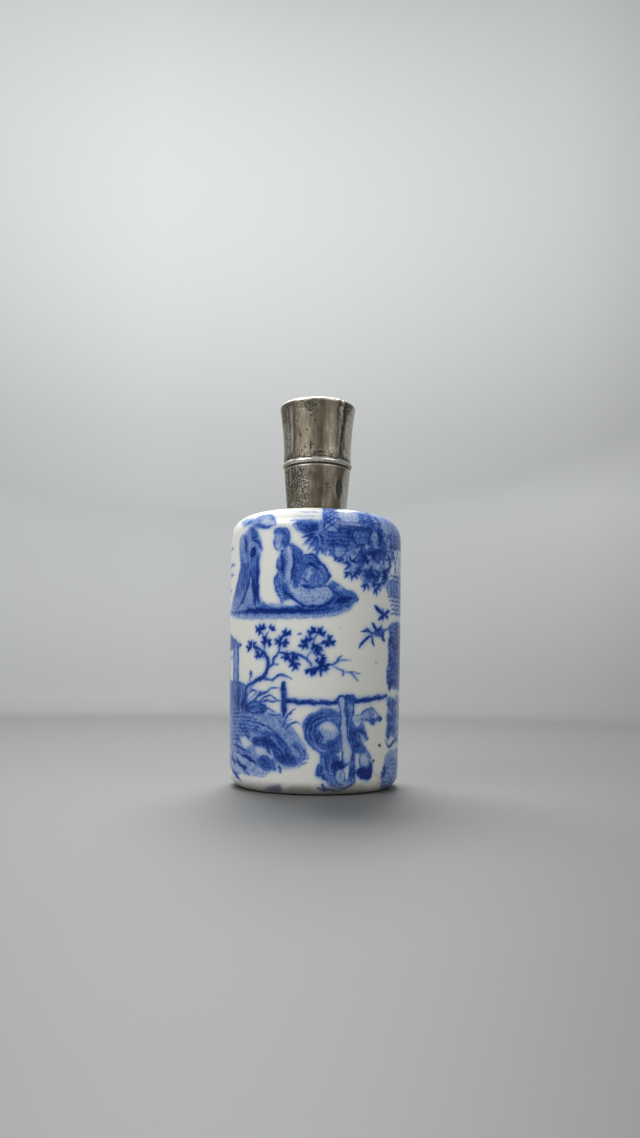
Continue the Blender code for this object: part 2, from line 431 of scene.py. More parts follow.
def bottle_profile(sizes):
    """Up the inside, over the lip, down the neck and the body, and under the foot to the middle."""
    shoulder_r = sizes.shoulder_diameter / 2 - sizes.shoulder_rounding
    shoulder_z = sizes.body_height - sizes.shoulder_rounding
    foot_r = sizes.foot_diameter / 2 - sizes.foot_rounding
    ring_r = foot_r - sizes.foot_ring
    lip = sizes.neck_wall / 2
    bore = sizes.neck_radius - sizes.neck_wall
    corner = 1.6 * sizes.wall
    inner_r = sizes.foot_diameter / 2 - sizes.wall
    ceiling = sizes.body_height - sizes.wall
    ring_edge = 0.3 * MM
    recess_slope = 0.7 * MM
    points = [(0, sizes.floor)]
    points += arc((inner_r - corner, sizes.floor + corner), corner, -90, 0, HOLLOW_CORNER_STEPS)
    points += arc((inner_r - corner, ceiling - corner), corner, 0, 90, HOLLOW_CORNER_STEPS)
    points += [(bore + MM, ceiling), (bore, ceiling + MM)]
    points += arc((bore + lip, sizes.lip_height - lip), lip, 180, 0, LIP_STEPS)
    points.append((sizes.neck_radius, sizes.body_height + 2 * sizes.top_rise))
    crown_rows = 17
    for i in range(crown_rows):
        share = i / crown_rows
        r = sizes.neck_radius + (shoulder_r - sizes.neck_radius) * share
        rise = sizes.top_rise * math.cos(share * math.pi / 2) ** 2
        points.append((r, sizes.body_height + rise))
    rows = round(sizes.shoulder_rounding * math.pi / 2 / PRINT_ROW)
    points += arc((shoulder_r, shoulder_z), sizes.shoulder_rounding, 90, 0, rows)
    rows = round((shoulder_z - sizes.foot_rounding) / PRINT_ROW)
    for i in range(1, rows):
        z = shoulder_z + (sizes.foot_rounding - shoulder_z) * i / rows
        points.append((body_radius(sizes, z), z))
    rows = round(sizes.foot_rounding * math.pi / 2 / PRINT_ROW)
    points += arc((foot_r, sizes.foot_rounding), sizes.foot_rounding, 0, -90, rows)
    points += [(ring_r + ring_edge, 0), (ring_r - ring_edge, ring_edge)]
    points += [(ring_r - recess_slope, sizes.recess), (0, sizes.recess)]
    return points


def height_on_print(sizes, radius, height):
    """The height of each place on the unrolled print, in mm. It follows the wall and the rounded edges."""
    shoulder = sizes.shoulder_rounding / MM
    shoulder_r = sizes.shoulder_diameter / 2 / MM - shoulder
    shoulder_z = sizes.body_height / MM - shoulder
    foot = sizes.foot_rounding / MM
    foot_r = sizes.foot_diameter / 2 / MM - foot
    quarter = math.pi / 2
    on_shoulder = shoulder_z + shoulder * np.arctan2(height - shoulder_z, radius - shoulder_r)
    on_top = shoulder_z + shoulder * quarter + (shoulder_r - radius)
    on_foot = foot - foot * np.arctan2(foot - height, radius - foot_r)
    up = np.where(height > shoulder_z, on_shoulder, np.where(height < foot, on_foot, height))
    up = np.where((height > shoulder_z) & (radius < shoulder_r), on_top, up)
    wall = sizes.wall / MM
    hollow = (radius < foot_r + foot - wall / 2) & (height < sizes.body_height / MM - wall / 2) & (height > 0)
    return np.where(hollow | (radius < foot_r) & (height < foot), UNDER_PRINT, up)


def unsteady(across, up):
    """The same places on the print, a little off as lines cut by hand are."""
    sway = np.sin(2.3 * up + 1.9 * np.sin(1.7 * across)) + 0.6 * np.sin(5.1 * up - 3.7 * across)
    lift = np.sin(2.6 * across + 1.6 * np.sin(1.4 * up)) + 0.6 * np.sin(4.7 * across + 5.3 * up)
    return across + UNSTEADY_REACH * sway, up + UNSTEADY_REACH * lift


def spread_tones(piece, tones, rounds):
    """The tones after some rounds in which each vertex takes on half of its neighbours' tone."""
    ends = np.empty(len(piece.data.edges) * 2, int)
    piece.data.edges.foreach_get("vertices", ends)
    first = ends[0::2]
    last = ends[1::2]
    count = len(tones)
    ties = np.maximum(np.bincount(ends, minlength=count), 1)
    for _ in range(rounds):
        around = np.bincount(first, tones[last], count) + np.bincount(last, tones[first], count)
        tones = (tones + around / ties) / 2
    return tones


def collar_profile(sizes):
    """A closed ring: down the tube and the skirt outside, and up inside."""
    tube_r = sizes.tube_diameter / 2
    top_r = sizes.collar_top_diameter / 2
    foot_r = sizes.collar_foot_diameter / 2
    foot_z = COLLAR_LOW.z
    ledge_z = COLLAR_HIGH.z - sizes.tube_height
    edge = 0.2 * MM
    chamfer = 0.1 * MM
    rows = round((ledge_z - foot_z) / SILVER_ROW)
    points = [(tube_r - sizes.sheet, COLLAR_HIGH.z), (tube_r, COLLAR_HIGH.z), (tube_r, ledge_z)]
    points += arc((top_r - edge, ledge_z - edge), edge, 90, 4, LEDGE_STEPS)
    points += straight((top_r, ledge_z - edge), (foot_r, foot_z + chamfer), rows)
    points += [(foot_r - chamfer, foot_z), (foot_r - sizes.sheet, foot_z)]
    points += [(top_r - sizes.sheet, ledge_z - sizes.sheet), (tube_r - sizes.sheet, ledge_z - sizes.sheet)]
    points.append(points[0])
    return points


def cap_radius(sizes, z):
    """The outer radius of the cap's wall, which flares towards its top."""
    low_z = CAP_LOW.z + sizes.bead_height
    share_up = (z - low_z) / (CAP_HIGH.z - sizes.cap_dome - sizes.cap_edge - low_z)
    low_r = sizes.cap_foot_diameter / 2
    return low_r + (sizes.cap_top_diameter / 2 - low_r) * max(0, share_up) ** 2


def cap_profile(sizes):
    """From the middle of the domed top, down the flared wall, round the bead and up the inside."""
    rim_z = CAP_HIGH.z - sizes.cap_dome
    edge_z = rim_z - sizes.cap_edge
    edge_r = sizes.cap_top_diameter / 2 - sizes.cap_edge
    bead = sizes.bead_height / 2
    bead_z = CAP_LOW.z + bead
    bead_r = sizes.cap_foot_diameter / 2 + sizes.bead_proud - bead
    meets_wall = math.degrees(math.acos((bead - sizes.bead_proud) / bead))
    points = []
    crown_rows = 20
    for i in range(crown_rows):
        share = i / crown_rows
        points.append((edge_r * share, rim_z + sizes.cap_dome * (1 - share**2)))
    points += arc((edge_r, edge_z), sizes.cap_edge, 90, 0, CAP_EDGE_STEPS)
    low_z = bead_z + bead * math.sin(math.radians(meets_wall))
    rows = round((edge_z - low_z) / SILVER_ROW)
    for i in range(1, rows):
        z = edge_z + (low_z - edge_z) * i / rows
        points.append((cap_radius(sizes, z), z))
    points += arc((bead_r, bead_z), bead, meets_wall, -90, BEAD_STEPS)
    ceiling_z = rim_z - sizes.sheet
    inner_rows = 12
    for i in range(inner_rows + 1):
        z = CAP_LOW.z + (ceiling_z - CAP_LOW.z) * i / inner_rows
        points.append((cap_radius(sizes, z) - sizes.sheet, z))
    points.append((0, ceiling_z + sizes.cap_dome))
    return points


def mark_silver(piece, sizes, markings):
    """Presses the dents into a silver piece, and stores where it is stained, where its edges are bright from
    rubbing and have painted highlights, where it is pitted and where shade is painted.
    """
    angle, radius, height = round_and_up(vertex_places(piece))
    outside = angle * SILVER_RADIUS
    turn = math.tau * SILVER_RADIUS
    dents = Drawing(outside, height, turn, SOFT_MARK_EDGE)
    markings["dents"](dents)
    wall = np.where(radius > outer_silver(sizes, height) - sizes.sheet / 2 / MM, 1, 0)
    press_in(piece, dents.tones * wall)
    for name in ("marks", "rubbed", "pitted", "dulled"):
        layer = Drawing(outside, height, turn, MARK_EDGE if name == "marks" else SOFT_MARK_EDGE)
        markings[name](layer)
        keep_tones(piece, name, layer.tones)


def outer_silver(sizes, height):
    """The radius in mm of the outside of the silver, at each height in mm."""
    collar_foot = sizes.collar_foot_diameter / 2 / MM
    taper = sizes.collar_top_diameter / 2 / MM - collar_foot
    foot = COLLAR_LOW.z / MM
    ledge = (COLLAR_HIGH.z - sizes.tube_height) / MM
    collar = collar_foot + taper * np.clip((height - foot) / (ledge - foot), 0, 1)
    cap_foot = sizes.cap_foot_diameter / 2 / MM
    flare = sizes.cap_top_diameter / 2 / MM - cap_foot
    low = (CAP_LOW.z + sizes.bead_height) / MM
    high = (CAP_HIGH.z - sizes.cap_dome - sizes.cap_edge) / MM
    cap = cap_foot + flare * np.clip((height - low) / (high - low), 0, 1) ** 2
    seam = (ledge + CAP_LOW.z / MM) / 2
    return np.where(height > seam, cap, collar)


def silver_ring(d, up, width, tone):
    """A level line all the way round the silver, in four lengths."""
    for start in (-2 * SILVER_QUARTER, -SILVER_QUARTER, 0, SILVER_QUARTER):
        d.stroke([(start, up), (start + SILVER_QUARTER, up)], width, tone, (1, 1))


def draw_cap_dents(d):
    d.stroke([(4.5, 69.4), (4.3, 67), (4.7, 64.5), (4.6, 62), (4.9, 59.6)], 0.8, 0.16, (0.6, 0.6))
    d.stroke([(3.9, 67.4), (4.6, 65), (5.6, 62.2)], 0.5, 0.1)
    d.stroke([(-4.8, 68.4), (-5, 64), (-5.3, 59.8)], 0.7, 0.09, (0.5, 0.5))
    d.stroke([(-6.8, 68), (-7, 64), (-7, 60)], 1, 0.07, (0.5, 0.5))
    d.blob((-1.5, 67.6), (1.6, 1.2), 0.05)
    d.blob((-12, 63), (4, 5), 0.12)
    d.blob((13, 66), (3, 4), 0.1)
    d.blob((17, 61.5), (3, 2), 0.08)


def draw_collar_dents(d):
    d.patch([(4.7, 55), (5.6, 53.9), (5.3, 52.6), (4.7, 51.7), (4.1, 52.6), (3.9, 53.8)], 0.12)
    d.stroke([(4.7, 51.6), (4.8, 49.9)], 0.4, 0.06)
    d.stroke([(-5.4, 57), (-5.2, 54.6), (-5, 52)], 0.5, 0.06)
    d.stroke([(-3.4, 56.6), (-3.2, 53), (-3, 50.6)], 0.4, 0.05)
    d.blob((-12, 53), (3, 3), 0.08)
    d.blob((13, 54), (3.4, 2.4), 0.08)


def scattered(count, low, high):
    """Places spread unevenly over a rectangle, with no two in line."""
    shares = [((0.5 + i * SPREAD[0]) % 1, (0.5 + i * SPREAD[1]) % 1) for i in range(count)]
    return [(low[0] + (high[0] - low[0]) * a, low[1] + (high[1] - low[1]) * b) for a, b in shares]


def draw_cap_marks(d):
    d.stroke([(5.4, 69.2), (5.2, 67.4), (5.4, 65.6), (5.2, 63.9), (5.2, 62.6)], 0.34, 0.95, (1, 1))
    d.stroke([(5.9, 68.8), (5.8, 67), (5.5, 64.8), (5.3, 63)], 0.18, 0.7, (0.5, 0.5))
    d.stroke([(4.1, 67.4), (4.5, 66), (5, 64.2), (5.6, 62.6), (6.2, 61.7)], 0.2, 0.75)
    d.stroke([(4.8, 63.4), (4.95, 62.4), (4.9, 61.4), (5.05, 60.4), (4.95, 59)], 0.24, 1, (0.5, 0.8))
    d.stroke([(4.8, 62.7), (5, 62.2), (4.9, 61.7)], 0.5, 1, (0.4, 0.5))
    d.stroke([(5.05, 61), (4.9, 60.4), (5.05, 59.7), (4.95, 59.2)], 0.46, 1, (0.5, 0.5))
    d.stroke([(5.4, 62), (5.8, 61.2), (5.5, 60.4)], 0.3, 0.95)
    d.stroke([(-4.8, 68.2), (-4.9, 64), (-4.7, 62), (-5, 59.8)], 0.22, 0.8, (0.5, 0.7))
    d.stroke([(-5.8, 68), (-5.7, 65), (-5.9, 61.6), (-5.9, 59.6)], 0.16, 0.6, (0.5, 0.7))
    ring = [(-2.2, 68.4), (-1.6, 68.8), (-0.9, 68.4), (-1, 67.7), (-1.6, 67.4), (-2.2, 67.8)]
    d.stroke([*ring, ring[0]], 0.16, 0.8, (1, 1))
    d.stroke([(-1.9, 67.2), (-1.3, 67), (-0.8, 67.3)], 0.3, 0.95)
    d.stroke([(-1.7, 68.5), (-1.2, 68.2)], 0.26, 0.95)
    spots = [(-0.3, 68), (-3.2, 62.6), (-3.4, 62.9), (-2.4, 60.5), (-1.2, 61.3), (-1.3, 60.8), (-1.2, 60.2)]
    spots += [
        (-1.2, 66.1), (-0.5, 65.2), (-3.9, 65.4), (-2, 63.6),
        (-0.9, 60.9), (-3.1, 59.9), (6.2, 60.7), (6.9, 60.2),
    ]
    d.dots(spots, 0.32, 1)
    d.dots(scattered(26, (-9, 59.5), (-5.2, 68.6)), 0.2, 0.8)
    d.dots(scattered(14, (4.4, 63), (8.4, 69)), 0.22, 0.85)
    d.dots(scattered(30, (9.6, 59.5), (20.4, 68.6)), 0.24, 0.8)
    d.dots(scattered(24, (-20.4, 59.5), (-9.6, 68.6)), 0.24, 0.8)
    d.stroke([(-1.25, 61.2), (-1.25, 60.6), (-1.3, 60.1)], 0.26, 1)
    d.stroke([(-0.1, 59.3), (0.5, 59.5), (1.1, 59.3)], 0.4, 1)
    d.stroke([(-2.2, 61.2), (-0.4, 61.4)], 0.14, 0.4)
    for i in range(40):
        across = -20.2 + 40.4 * i / 39
        low = 58.72 + 0.12 * math.sin(i * 2.4)
        middle = low + 0.14 * math.sin(i * 5.1)
        d.stroke([(across - 0.5, low), (across, middle), (across + 0.5, low)], 0.22, 1, (0.7, 0.7))
        if i % 3:
            d.stroke([(across, low), (across + 0.2, low + 0.3 + 0.4 * math.sin(i * 1.9) ** 2)], 0.26, 0.9)


def draw_collar_marks(d):
    shield = [
        (5.1, 55), (5.7, 54.1), (5.9, 53.2), (5.6, 52.3), (5.1, 51.5), (4.6, 52.3), (4.3, 53.2), (4.5, 54.2)
    ]
    d.patch(shield, 0.62, 0.16, 0.95)
    d.stroke([(5, 52.4), (4.9, 51.6), (4.9, 50.6), (4.9, 49.6)], 0.18, 0.95, (0.6, 1))
    d.stroke([(5.5, 57.2), (5.4, 56), (5.2, 55)], 0.2, 0.8, (1, 0.5))
    d.dots([(1.7, 53.9), (2, 53.5), (2.3, 53.8), (2.1, 53), (2.3, 52.4), (2.6, 53.1), (1.8, 53.6)], 0.28, 1)
    spots = [
        (-1.3, 56.1), (-1, 55.8), (-0.6, 55.7), (-1.4, 55.6), (0.3, 57), (6.6, 54.2), (6.2, 52.8), (6.9, 55.3)
    ]
    d.dots(spots, 0.24, 0.9)
    for i, (across, up) in enumerate(scattered(110, (-8.6, 49.9), (-2.4, 57))):
        d.stroke([(across, up), (across + 0.12 * math.sin(i), up - 0.24)], 0.17 + 0.08 * (i % 3), 1)
    for i in range(6):
        d.stroke([(-7 + 0.75 * i, 57), (-6.9 + 0.72 * i, 55.8), (-7 + 0.74 * i, 54.9)], 0.16, 0.85)
    d.dots(scattered(34, (7.5, 49.9), (20.4, 57)), 0.24, 0.85)
    d.dots(scattered(26, (-20.4, 49.9), (-9, 57)), 0.24, 0.85)
    d.dots(scattered(9, (-2, 50), (1.4, 56)), 0.16, 0.8)
    for i in range(60):
        across = -20.3 + 40.6 * i / 59
        d.stroke([(across - 0.4, 49.15), (across + 0.4, 49.15)], 0.3 + 0.14 * math.sin(i * 3.3), 0.85, (1, 1))


def draw_cap_rub_and_highlight(d):
    # The bright rims and bead: rubbing, and also painted highlights.
    silver_ring(d, 69.75, 0.9, 1)
    silver_ring(d, 58.2, 0.6, 1)
    # Painted reflections: light streaks down the wall and a bright patch to the right of the crease.
    d.stroke([(-5.3, 68), (-5.3, 64), (-5.45, 60)], 0.26, 0.8)
    d.stroke([(4.4, 68), (4.5, 64), (4.3, 60)], 0.34, 0.8)
    d.patch([(6.6, 67.4), (9.6, 69), (9.6, 59.4), (6, 59.4), (5.8, 62)], 0.72)
    d.patch([(-9.6, 65), (-6.2, 65), (-6, 60), (-9.6, 60)], 0.25)


def draw_collar_rub_and_highlight(d):
    # The bright upper edge: rubbing, and also a painted highlight.
    silver_ring(d, 57.45, 0.3, 1)
    # Painted reflections: a bright patch on the right and light streaks down the wall.
    d.patch([(6.4, 56.6), (9.6, 56.6), (9.4, 49.8), (5.8, 49.8)], 0.66)
    d.stroke([(4, 55), (3.9, 53), (4.3, 51.6)], 0.3, 0.7)
    d.stroke([(-3, 50.2), (-4.5, 50.1), (-6.2, 50.2)], 0.4, 0.5)
    d.stroke([(-6.2, 57), (-6.1, 55.8), (-6.2, 54.6)], 0.34, 0.7)


def draw_cap_pitting(d):
    d.patch([(-9.6, 69), (-5.8, 68.6), (-6, 59), (-9.6, 59)], 0.75)
    d.patch([(-4.4, 69.2), (0.6, 69.2), (0, 66.6), (-3.8, 66.6)], 0.45)
    d.patch([(4.2, 69.2), (8, 69.2), (7, 66), (4.6, 64)], 0.6)
    d.patch([(-20, 60.4), (20, 60.4), (20, 58.8), (-20, 58.8)], 0.4)


def draw_collar_pitting(d):
    d.patch([(-9, 57), (-2.6, 56.4), (-2.2, 50), (-9, 49.6)], 0.95)
    d.patch([(5.8, 56.4), (8.6, 56), (8.6, 49.8), (5.8, 49.8)], 0.4)
    d.patch([(11, 55), (17, 55), (17, 51), (12, 50)], 0.7)


def draw_cap_painted_shade(d):
    # Painted shade: soft dark bands down the cap's wall, darkening its tarnish.
    d.stroke([(0.9, 69), (1, 64), (1, 59.4)], 0.9, 0.55, (1, 1))
    d.stroke([(2, 69), (2.1, 64), (2.1, 59.4)], 0.2, 0.4, (1, 1))
    d.stroke([(-4.2, 64.6), (-3.3, 62.8), (-3.5, 60)], 0.6, 0.5)
    d.stroke([(5.4, 69.2), (5.2, 64), (5.1, 59.4)], 0.5, 0.7, (1, 1))
    d.stroke([(-7.6, 69), (-7.4, 64), (-7.6, 60)], 1, 0.35, (1, 1))


def draw_collar_painted_shade(d):
    # Painted shade: soft dark bands down the collar's wall, and a darker ring at its foot where it meets the
    # porcelain.
    d.stroke([(0.8, 57.2), (0.9, 53), (0.8, 49.6)], 0.5, 0.45, (1, 1))
    d.stroke([(2.1, 57.2), (2.1, 53), (2.1, 49.6)], 0.3, 0.4, (1, 1))
    d.stroke([(-5.4, 57), (-5.4, 53), (-5.4, 50)], 3, 0.3, (1, 1))
    silver_ring(d, 49.3, 0.5, 0.7)


# Each silver piece's layers: dents, black marks, rubbing with painted highlights, pits, and painted shade.
CAP_MARKINGS = {
    "dents": draw_cap_dents,
    "marks": draw_cap_marks,
    "rubbed": draw_cap_rub_and_highlight,
    "pitted": draw_cap_pitting,
    "dulled": draw_cap_painted_shade,
}
COLLAR_MARKINGS = {
    "dents": draw_collar_dents,
    "marks": draw_collar_marks,
    "rubbed": draw_collar_rub_and_highlight,
    "pitted": draw_collar_pitting,
    "dulled": draw_collar_painted_shade,
}

# The camera, as the photograph sees the bottle.
LENS = 27.05
SENSOR = 36.0
CAMERA_PLACE = (0.73 * MM, -156.5 * MM, 19.18 * MM)
CAMERA_PITCH = math.radians(97.2)
CAMERA_ROLL = math.radians(0.65)
CAMERA_NEAR = 5 * MM

# The floor, the backdrop and the light round the bottle.
FLOOR_REACH = 420 * MM
COVE_RADIUS = 260 * MM
BACKDROP_HEIGHT = 1100 * MM
BRIGHT_HEIGHT = 700 * MM
FLOOR_TONE = (0.11, 0.112, 0.11)
# DIM_TONE is the dark end of the backdrop's painted shade.
DIM_TONE = (0.1, 0.1, 0.1)
BACKDROP_TONE = (0.94, 0.965, 0.955)
ROOM_TONE = (0.9, 0.95, 1.0)
ROOM_LIGHT = 0.3
FLOOR_ROUGHNESS = 0.55
# Painted shade on the backdrop: how bright its colour is by its place round the bottle as a share of a turn,
# darker to the right and behind the camera.
BACKDROP_SHADES = (
    (0, 0.3), (0.2, 0.4), (0.37, 0.9), (0.46, 1), (0.56, 0.75), (0.6, 0.5), (0.7, 0.5), (0.75, 0.3)
)
# Each light has its name, place, target and size in mm, its power in watts and its tint.
LIGHTS = (
    ("overhead", (-50, 270, 430), (0, 0, 10), (320, 220), 4.5, (1, 1, 0.99)),
    ("backdrop_light", (0, 200, 500), (0, 680, 500), (500, 200), 1.8, (1, 1, 1)),
    ("near_top_left", (-120, -110, 170), (0, 0, 34), (120, 90), 0.32, (1, 1, 1)),
    ("near_top_right", (120, -130, 150), (0, 0, 34), (120, 90), 0.15, (1, 1, 1)),
)


def stage_profile():
    """The floor from the middle out, the cove and the backdrop wall, all round."""
    points = straight((0, 0), (FLOOR_REACH, 0), FLOOR_RINGS)
    points += arc((FLOOR_REACH, COVE_RADIUS), COVE_RADIUS, -90, 0, COVE_RINGS)[1:]
    points.append((FLOOR_REACH + COVE_RADIUS, BACKDROP_HEIGHT))
    return points


def soft_light(name, place, target, size, power, tint):
    """A rectangular soft light at a place in mm, turned towards a target."""
    lamp = bpy.data.lights.new(name, "AREA")
    lamp.shape = "RECTANGLE"
    lamp.size = size[0] * MM
    lamp.size_y = size[1] * MM
    lamp.energy = power
    lamp.color = tint
    holder = bpy.data.objects.new(name, lamp)
    holder.location = Vector(place) * MM
    holder.rotation_euler = (Vector(target) - Vector(place)).to_track_quat("-Z", "Y").to_euler()
    holder.visible_camera = False
    bpy.context.scene.collection.objects.link(holder)


def place_camera():
    """The camera low in front of the bottle, tilted up a little."""
    camera = bpy.data.cameras.new("camera")
    camera.lens = LENS
    camera.sensor_width = SENSOR
    camera.sensor_fit = "AUTO"
    camera.clip_start = CAMERA_NEAR
    holder = bpy.data.objects.new("camera", camera)
    turn = Matrix.Rotation(CAMERA_PITCH, 4, "X") @ Matrix.Rotation(CAMERA_ROLL, 4, "Z")
    holder.matrix_world = Matrix.Translation(CAMERA_PLACE) @ turn
    bpy.context.scene.collection.objects.link(holder)
    bpy.context.scene.camera = holder


def spread_place(i, corner, reach):
    """The place number i of those spread evenly over a rectangle, from its lower left corner."""
    return corner[0] + reach[0] * (i * SPREAD[0] % 1), corner[1] + reach[1] * (i * SPREAD[1] % 1)


def spread_stars(d, count, corner, reach, size, turn, leaves, gap, width, tones):
    """Stars of leaves spread evenly over a rectangle. Each has the next turn, number of leaves and tone."""
    for i in range(count):
        at = spread_place(i, corner, reach)
        d.star(at, size, turn * i, leaves[i % len(leaves)], gap, width, tones[i % len(tones)])


def draw_ground(d):
    """The dark strip of ground under the upper figures, with its shaded fringe."""
    fringe = [
        (-21, 30.2), (-14, 30), (-6, 29.8), (2, 29.8), (6.2, 31),
        (4.6, 29.6), (0, 28.8), (-8, 28.7), (-14, 28.9),
    ]
    d.hatch(fringe, 86, 0.42, 0.6, 0.55, 0.05)
    top = [
        (-22, 30.9), (-18, 30.8), (-15, 31.1), (-12.4, 30.9),
        (-9.6, 31.7), (-8.3, 31.2), (-6.4, 30.7), (-3.6, 30.9),
    ]
    rise = [(-1, 31.2), (1.4, 32.6), (2.4, 34.8), (3.5, 34.8), (4.8, 33.9), (6.5, 33.3), (7.4, 32.3)]
    under = [(6.4, 31.2), (4, 30.1), (0, 29.4), (-5, 29.5), (-10, 29.6), (-15, 29.8), (-21, 30.2)]
    d.patch(top + rise + under, 0.66)
    d.stroke([(-20, 30.5), (-14, 30.4), (-8, 30.1), (-2, 30), (3, 30.5)], 0.75, 0.98, (0.2, 0.2))
    d.stroke([(3.2, 31.4), (4.8, 32), (6.6, 32.3)], 0.9, 0.92, (0.3, 0.3))
    d.patch([(4.9, 33.4), (6.1, 32.9), (6.5, 32.5), (5.4, 32.6), (4.5, 32.9)], 0.56)
    d.patch([(-8.1, 31.1), (-7, 31.4), (-5.4, 31.1), (-4.7, 30.85), (-6, 30.65), (-7.5, 30.75)], 0.22)
    d.patch([(3.4, 34.1), (4, 34.4), (4.5, 34), (4.4, 33.4), (3.8, 33.3), (3.3, 33.6)], 0.3)


def draw_standing_pair(d):
    """Two robed figures close together under a wide parasol, seen from behind."""
    d.patch([(-15.9, 41), (-15.9, 42.8), (-15.2, 43.7), (-14.3, 43.4), (-14.2, 41.5), (-15, 40.6)], 0.3)
    left = [(-14.6, 43.2), (-13.2, 44.2), (-12.6, 42), (-12.5, 38), (-12.9, 34.5), (-12.6, 30.8), (-16, 30.4)]
    left += [
        (-20.6, 30.7), (-19.2, 31.7), (-17.8, 33.1), (-16.6, 35), (-15.6, 36.8), (-15.3, 39), (-15.7, 41)
    ]
    d.patch(left, 0.36)
    d.folds(
        [(-15.2, 40.8), (-15.2, 37.4), (-16.9, 34.2), (-19.4, 31.3)],
        [(-13, 40), (-12.8, 37.5), (-13.4, 34.5), (-14.4, 31.4)],
        7,
        0.24,
        0.82,
    )
    right = [(-13.2, 44.3), (-12, 44.8), (-10.9, 44.2), (-10.2, 43), (-9.6, 41.6), (-9.4, 40.4), (-9.9, 39.8)]
    right += [
        (-10.1, 36), (-10.2, 33.5), (-9.5, 31.2), (-12.8, 30.8), (-12.2, 33.5), (-12.3, 36.5), (-12.7, 40)
    ]
    d.patch(right, 0.4)
    d.folds(
        [(-12.1, 40), (-12, 37), (-11.5, 34), (-11.4, 31.2)],
        [(-10.3, 39.6), (-10.3, 37), (-10.3, 34), (-9.9, 31.4)],
        4,
        0.26,
        0.86,
    )
    d.stroke([(-10.5, 40), (-10.5, 36.5), (-10.6, 33.5), (-10, 31.2)], 0.7, 0.9)
    d.stroke([(-14.1, 43.2), (-13.6, 41.9), (-13.5, 40.5)], 0.8, 0.9, (0.5, 0.5))
    d.patch([(-12.6, 44.3), (-11.9, 44.7), (-11, 44.1), (-10.4, 43), (-11.3, 42.6), (-12.2, 43.2)], 0.69)
    d.stroke([(-12.5, 42.2), (-12.3, 41.3), (-12.4, 40.6)], 0.45, 0.32)
    d.patch([(-14.5, 39.7), (-13.9, 39.9), (-13.1, 39.2), (-13.4, 38.4), (-14.1, 38.7)], 0.36)
    d.patch([(-12.1, 41), (-11.3, 41.2), (-10.9, 40.5), (-11.3, 39.6), (-12.1, 39.6)], 0.97)
    d.stroke([(-12.4, 43.1), (-11.2, 42.2), (-10.1, 41.6), (-9.7, 40.5)], 0.35, 0.95)
    d.patch(
        [(-12.4, 35), (-12.9, 33.6), (-13.2, 32), (-12.8, 31.3), (-12, 31.2), (-11.7, 32.6), (-11.9, 34)],
        0.33,
    )
    d.stroke([(-12.3, 37.4), (-12.7, 35.2), (-13.6, 33.2), (-15, 31.6), (-16.2, 30.9)], 0.5, 0.95)
    d.stroke([(-12.2, 37.2), (-11.5, 35), (-11.2, 33), (-11, 31.2)], 0.5, 0.92)
    d.stroke([(-15.9, 32.4), (-15.5, 31.8)], 0.5, 0.36)
    d.stroke([(-14.7, 31.6), (-14.1, 31.3)], 0.5, 0.36)
    d.stroke(
        [(-15.9, 41.3), (-15.4, 39.5), (-15.2, 38), (-15.8, 36.5), (-16.8, 34.8), (-18.2, 33), (-20.3, 31.3)],
        0.3, 0.8,
    )
    d.patch(
        [
            (-16.8, 46.6), (-15.6, 45.6), (-14.2, 45.1), (-12.8, 45.2),
            (-12.2, 46), (-12.9, 46.5), (-14.6, 46.5),
        ],
        0.4,
    )
    d.stroke([(-14.4, 45.6), (-13.2, 45.7), (-12.4, 45.9)], 0.5, 0.75)
    d.stroke([(-16.9, 46.9), (-15.4, 46.9), (-14, 46.6)], 0.25, 0.6)
    dome = [
        (-12.3, 45), (-12.2, 46), (-11, 46.9), (-9.7, 47.2), (-8.5, 46.6),
        (-7.5, 45.7), (-7, 44.8), (-7.7, 44.3), (-9.3, 44.1), (-10.9, 44.4),
    ]
    d.patch(dome, 0.36)
    d.patch([(-10.4, 45.3), (-9.5, 46), (-8.4, 45.8), (-7.6, 45.1), (-8.9, 44.9)], 0.12)
    d.stroke([(-12.2, 46.1), (-10.9, 46.9), (-9.6, 47.1), (-8.3, 46.5), (-7.3, 45.5), (-7, 44.7)], 0.4, 0.85)
    d.stroke([(-11.3, 45.1), (-9.6, 44.5), (-7.6, 44.4)], 0.55, 0.8)
    d.stroke([(-11.4, 46.2), (-10.6, 45.4), (-10.2, 44.6)], 0.3, 0.8)


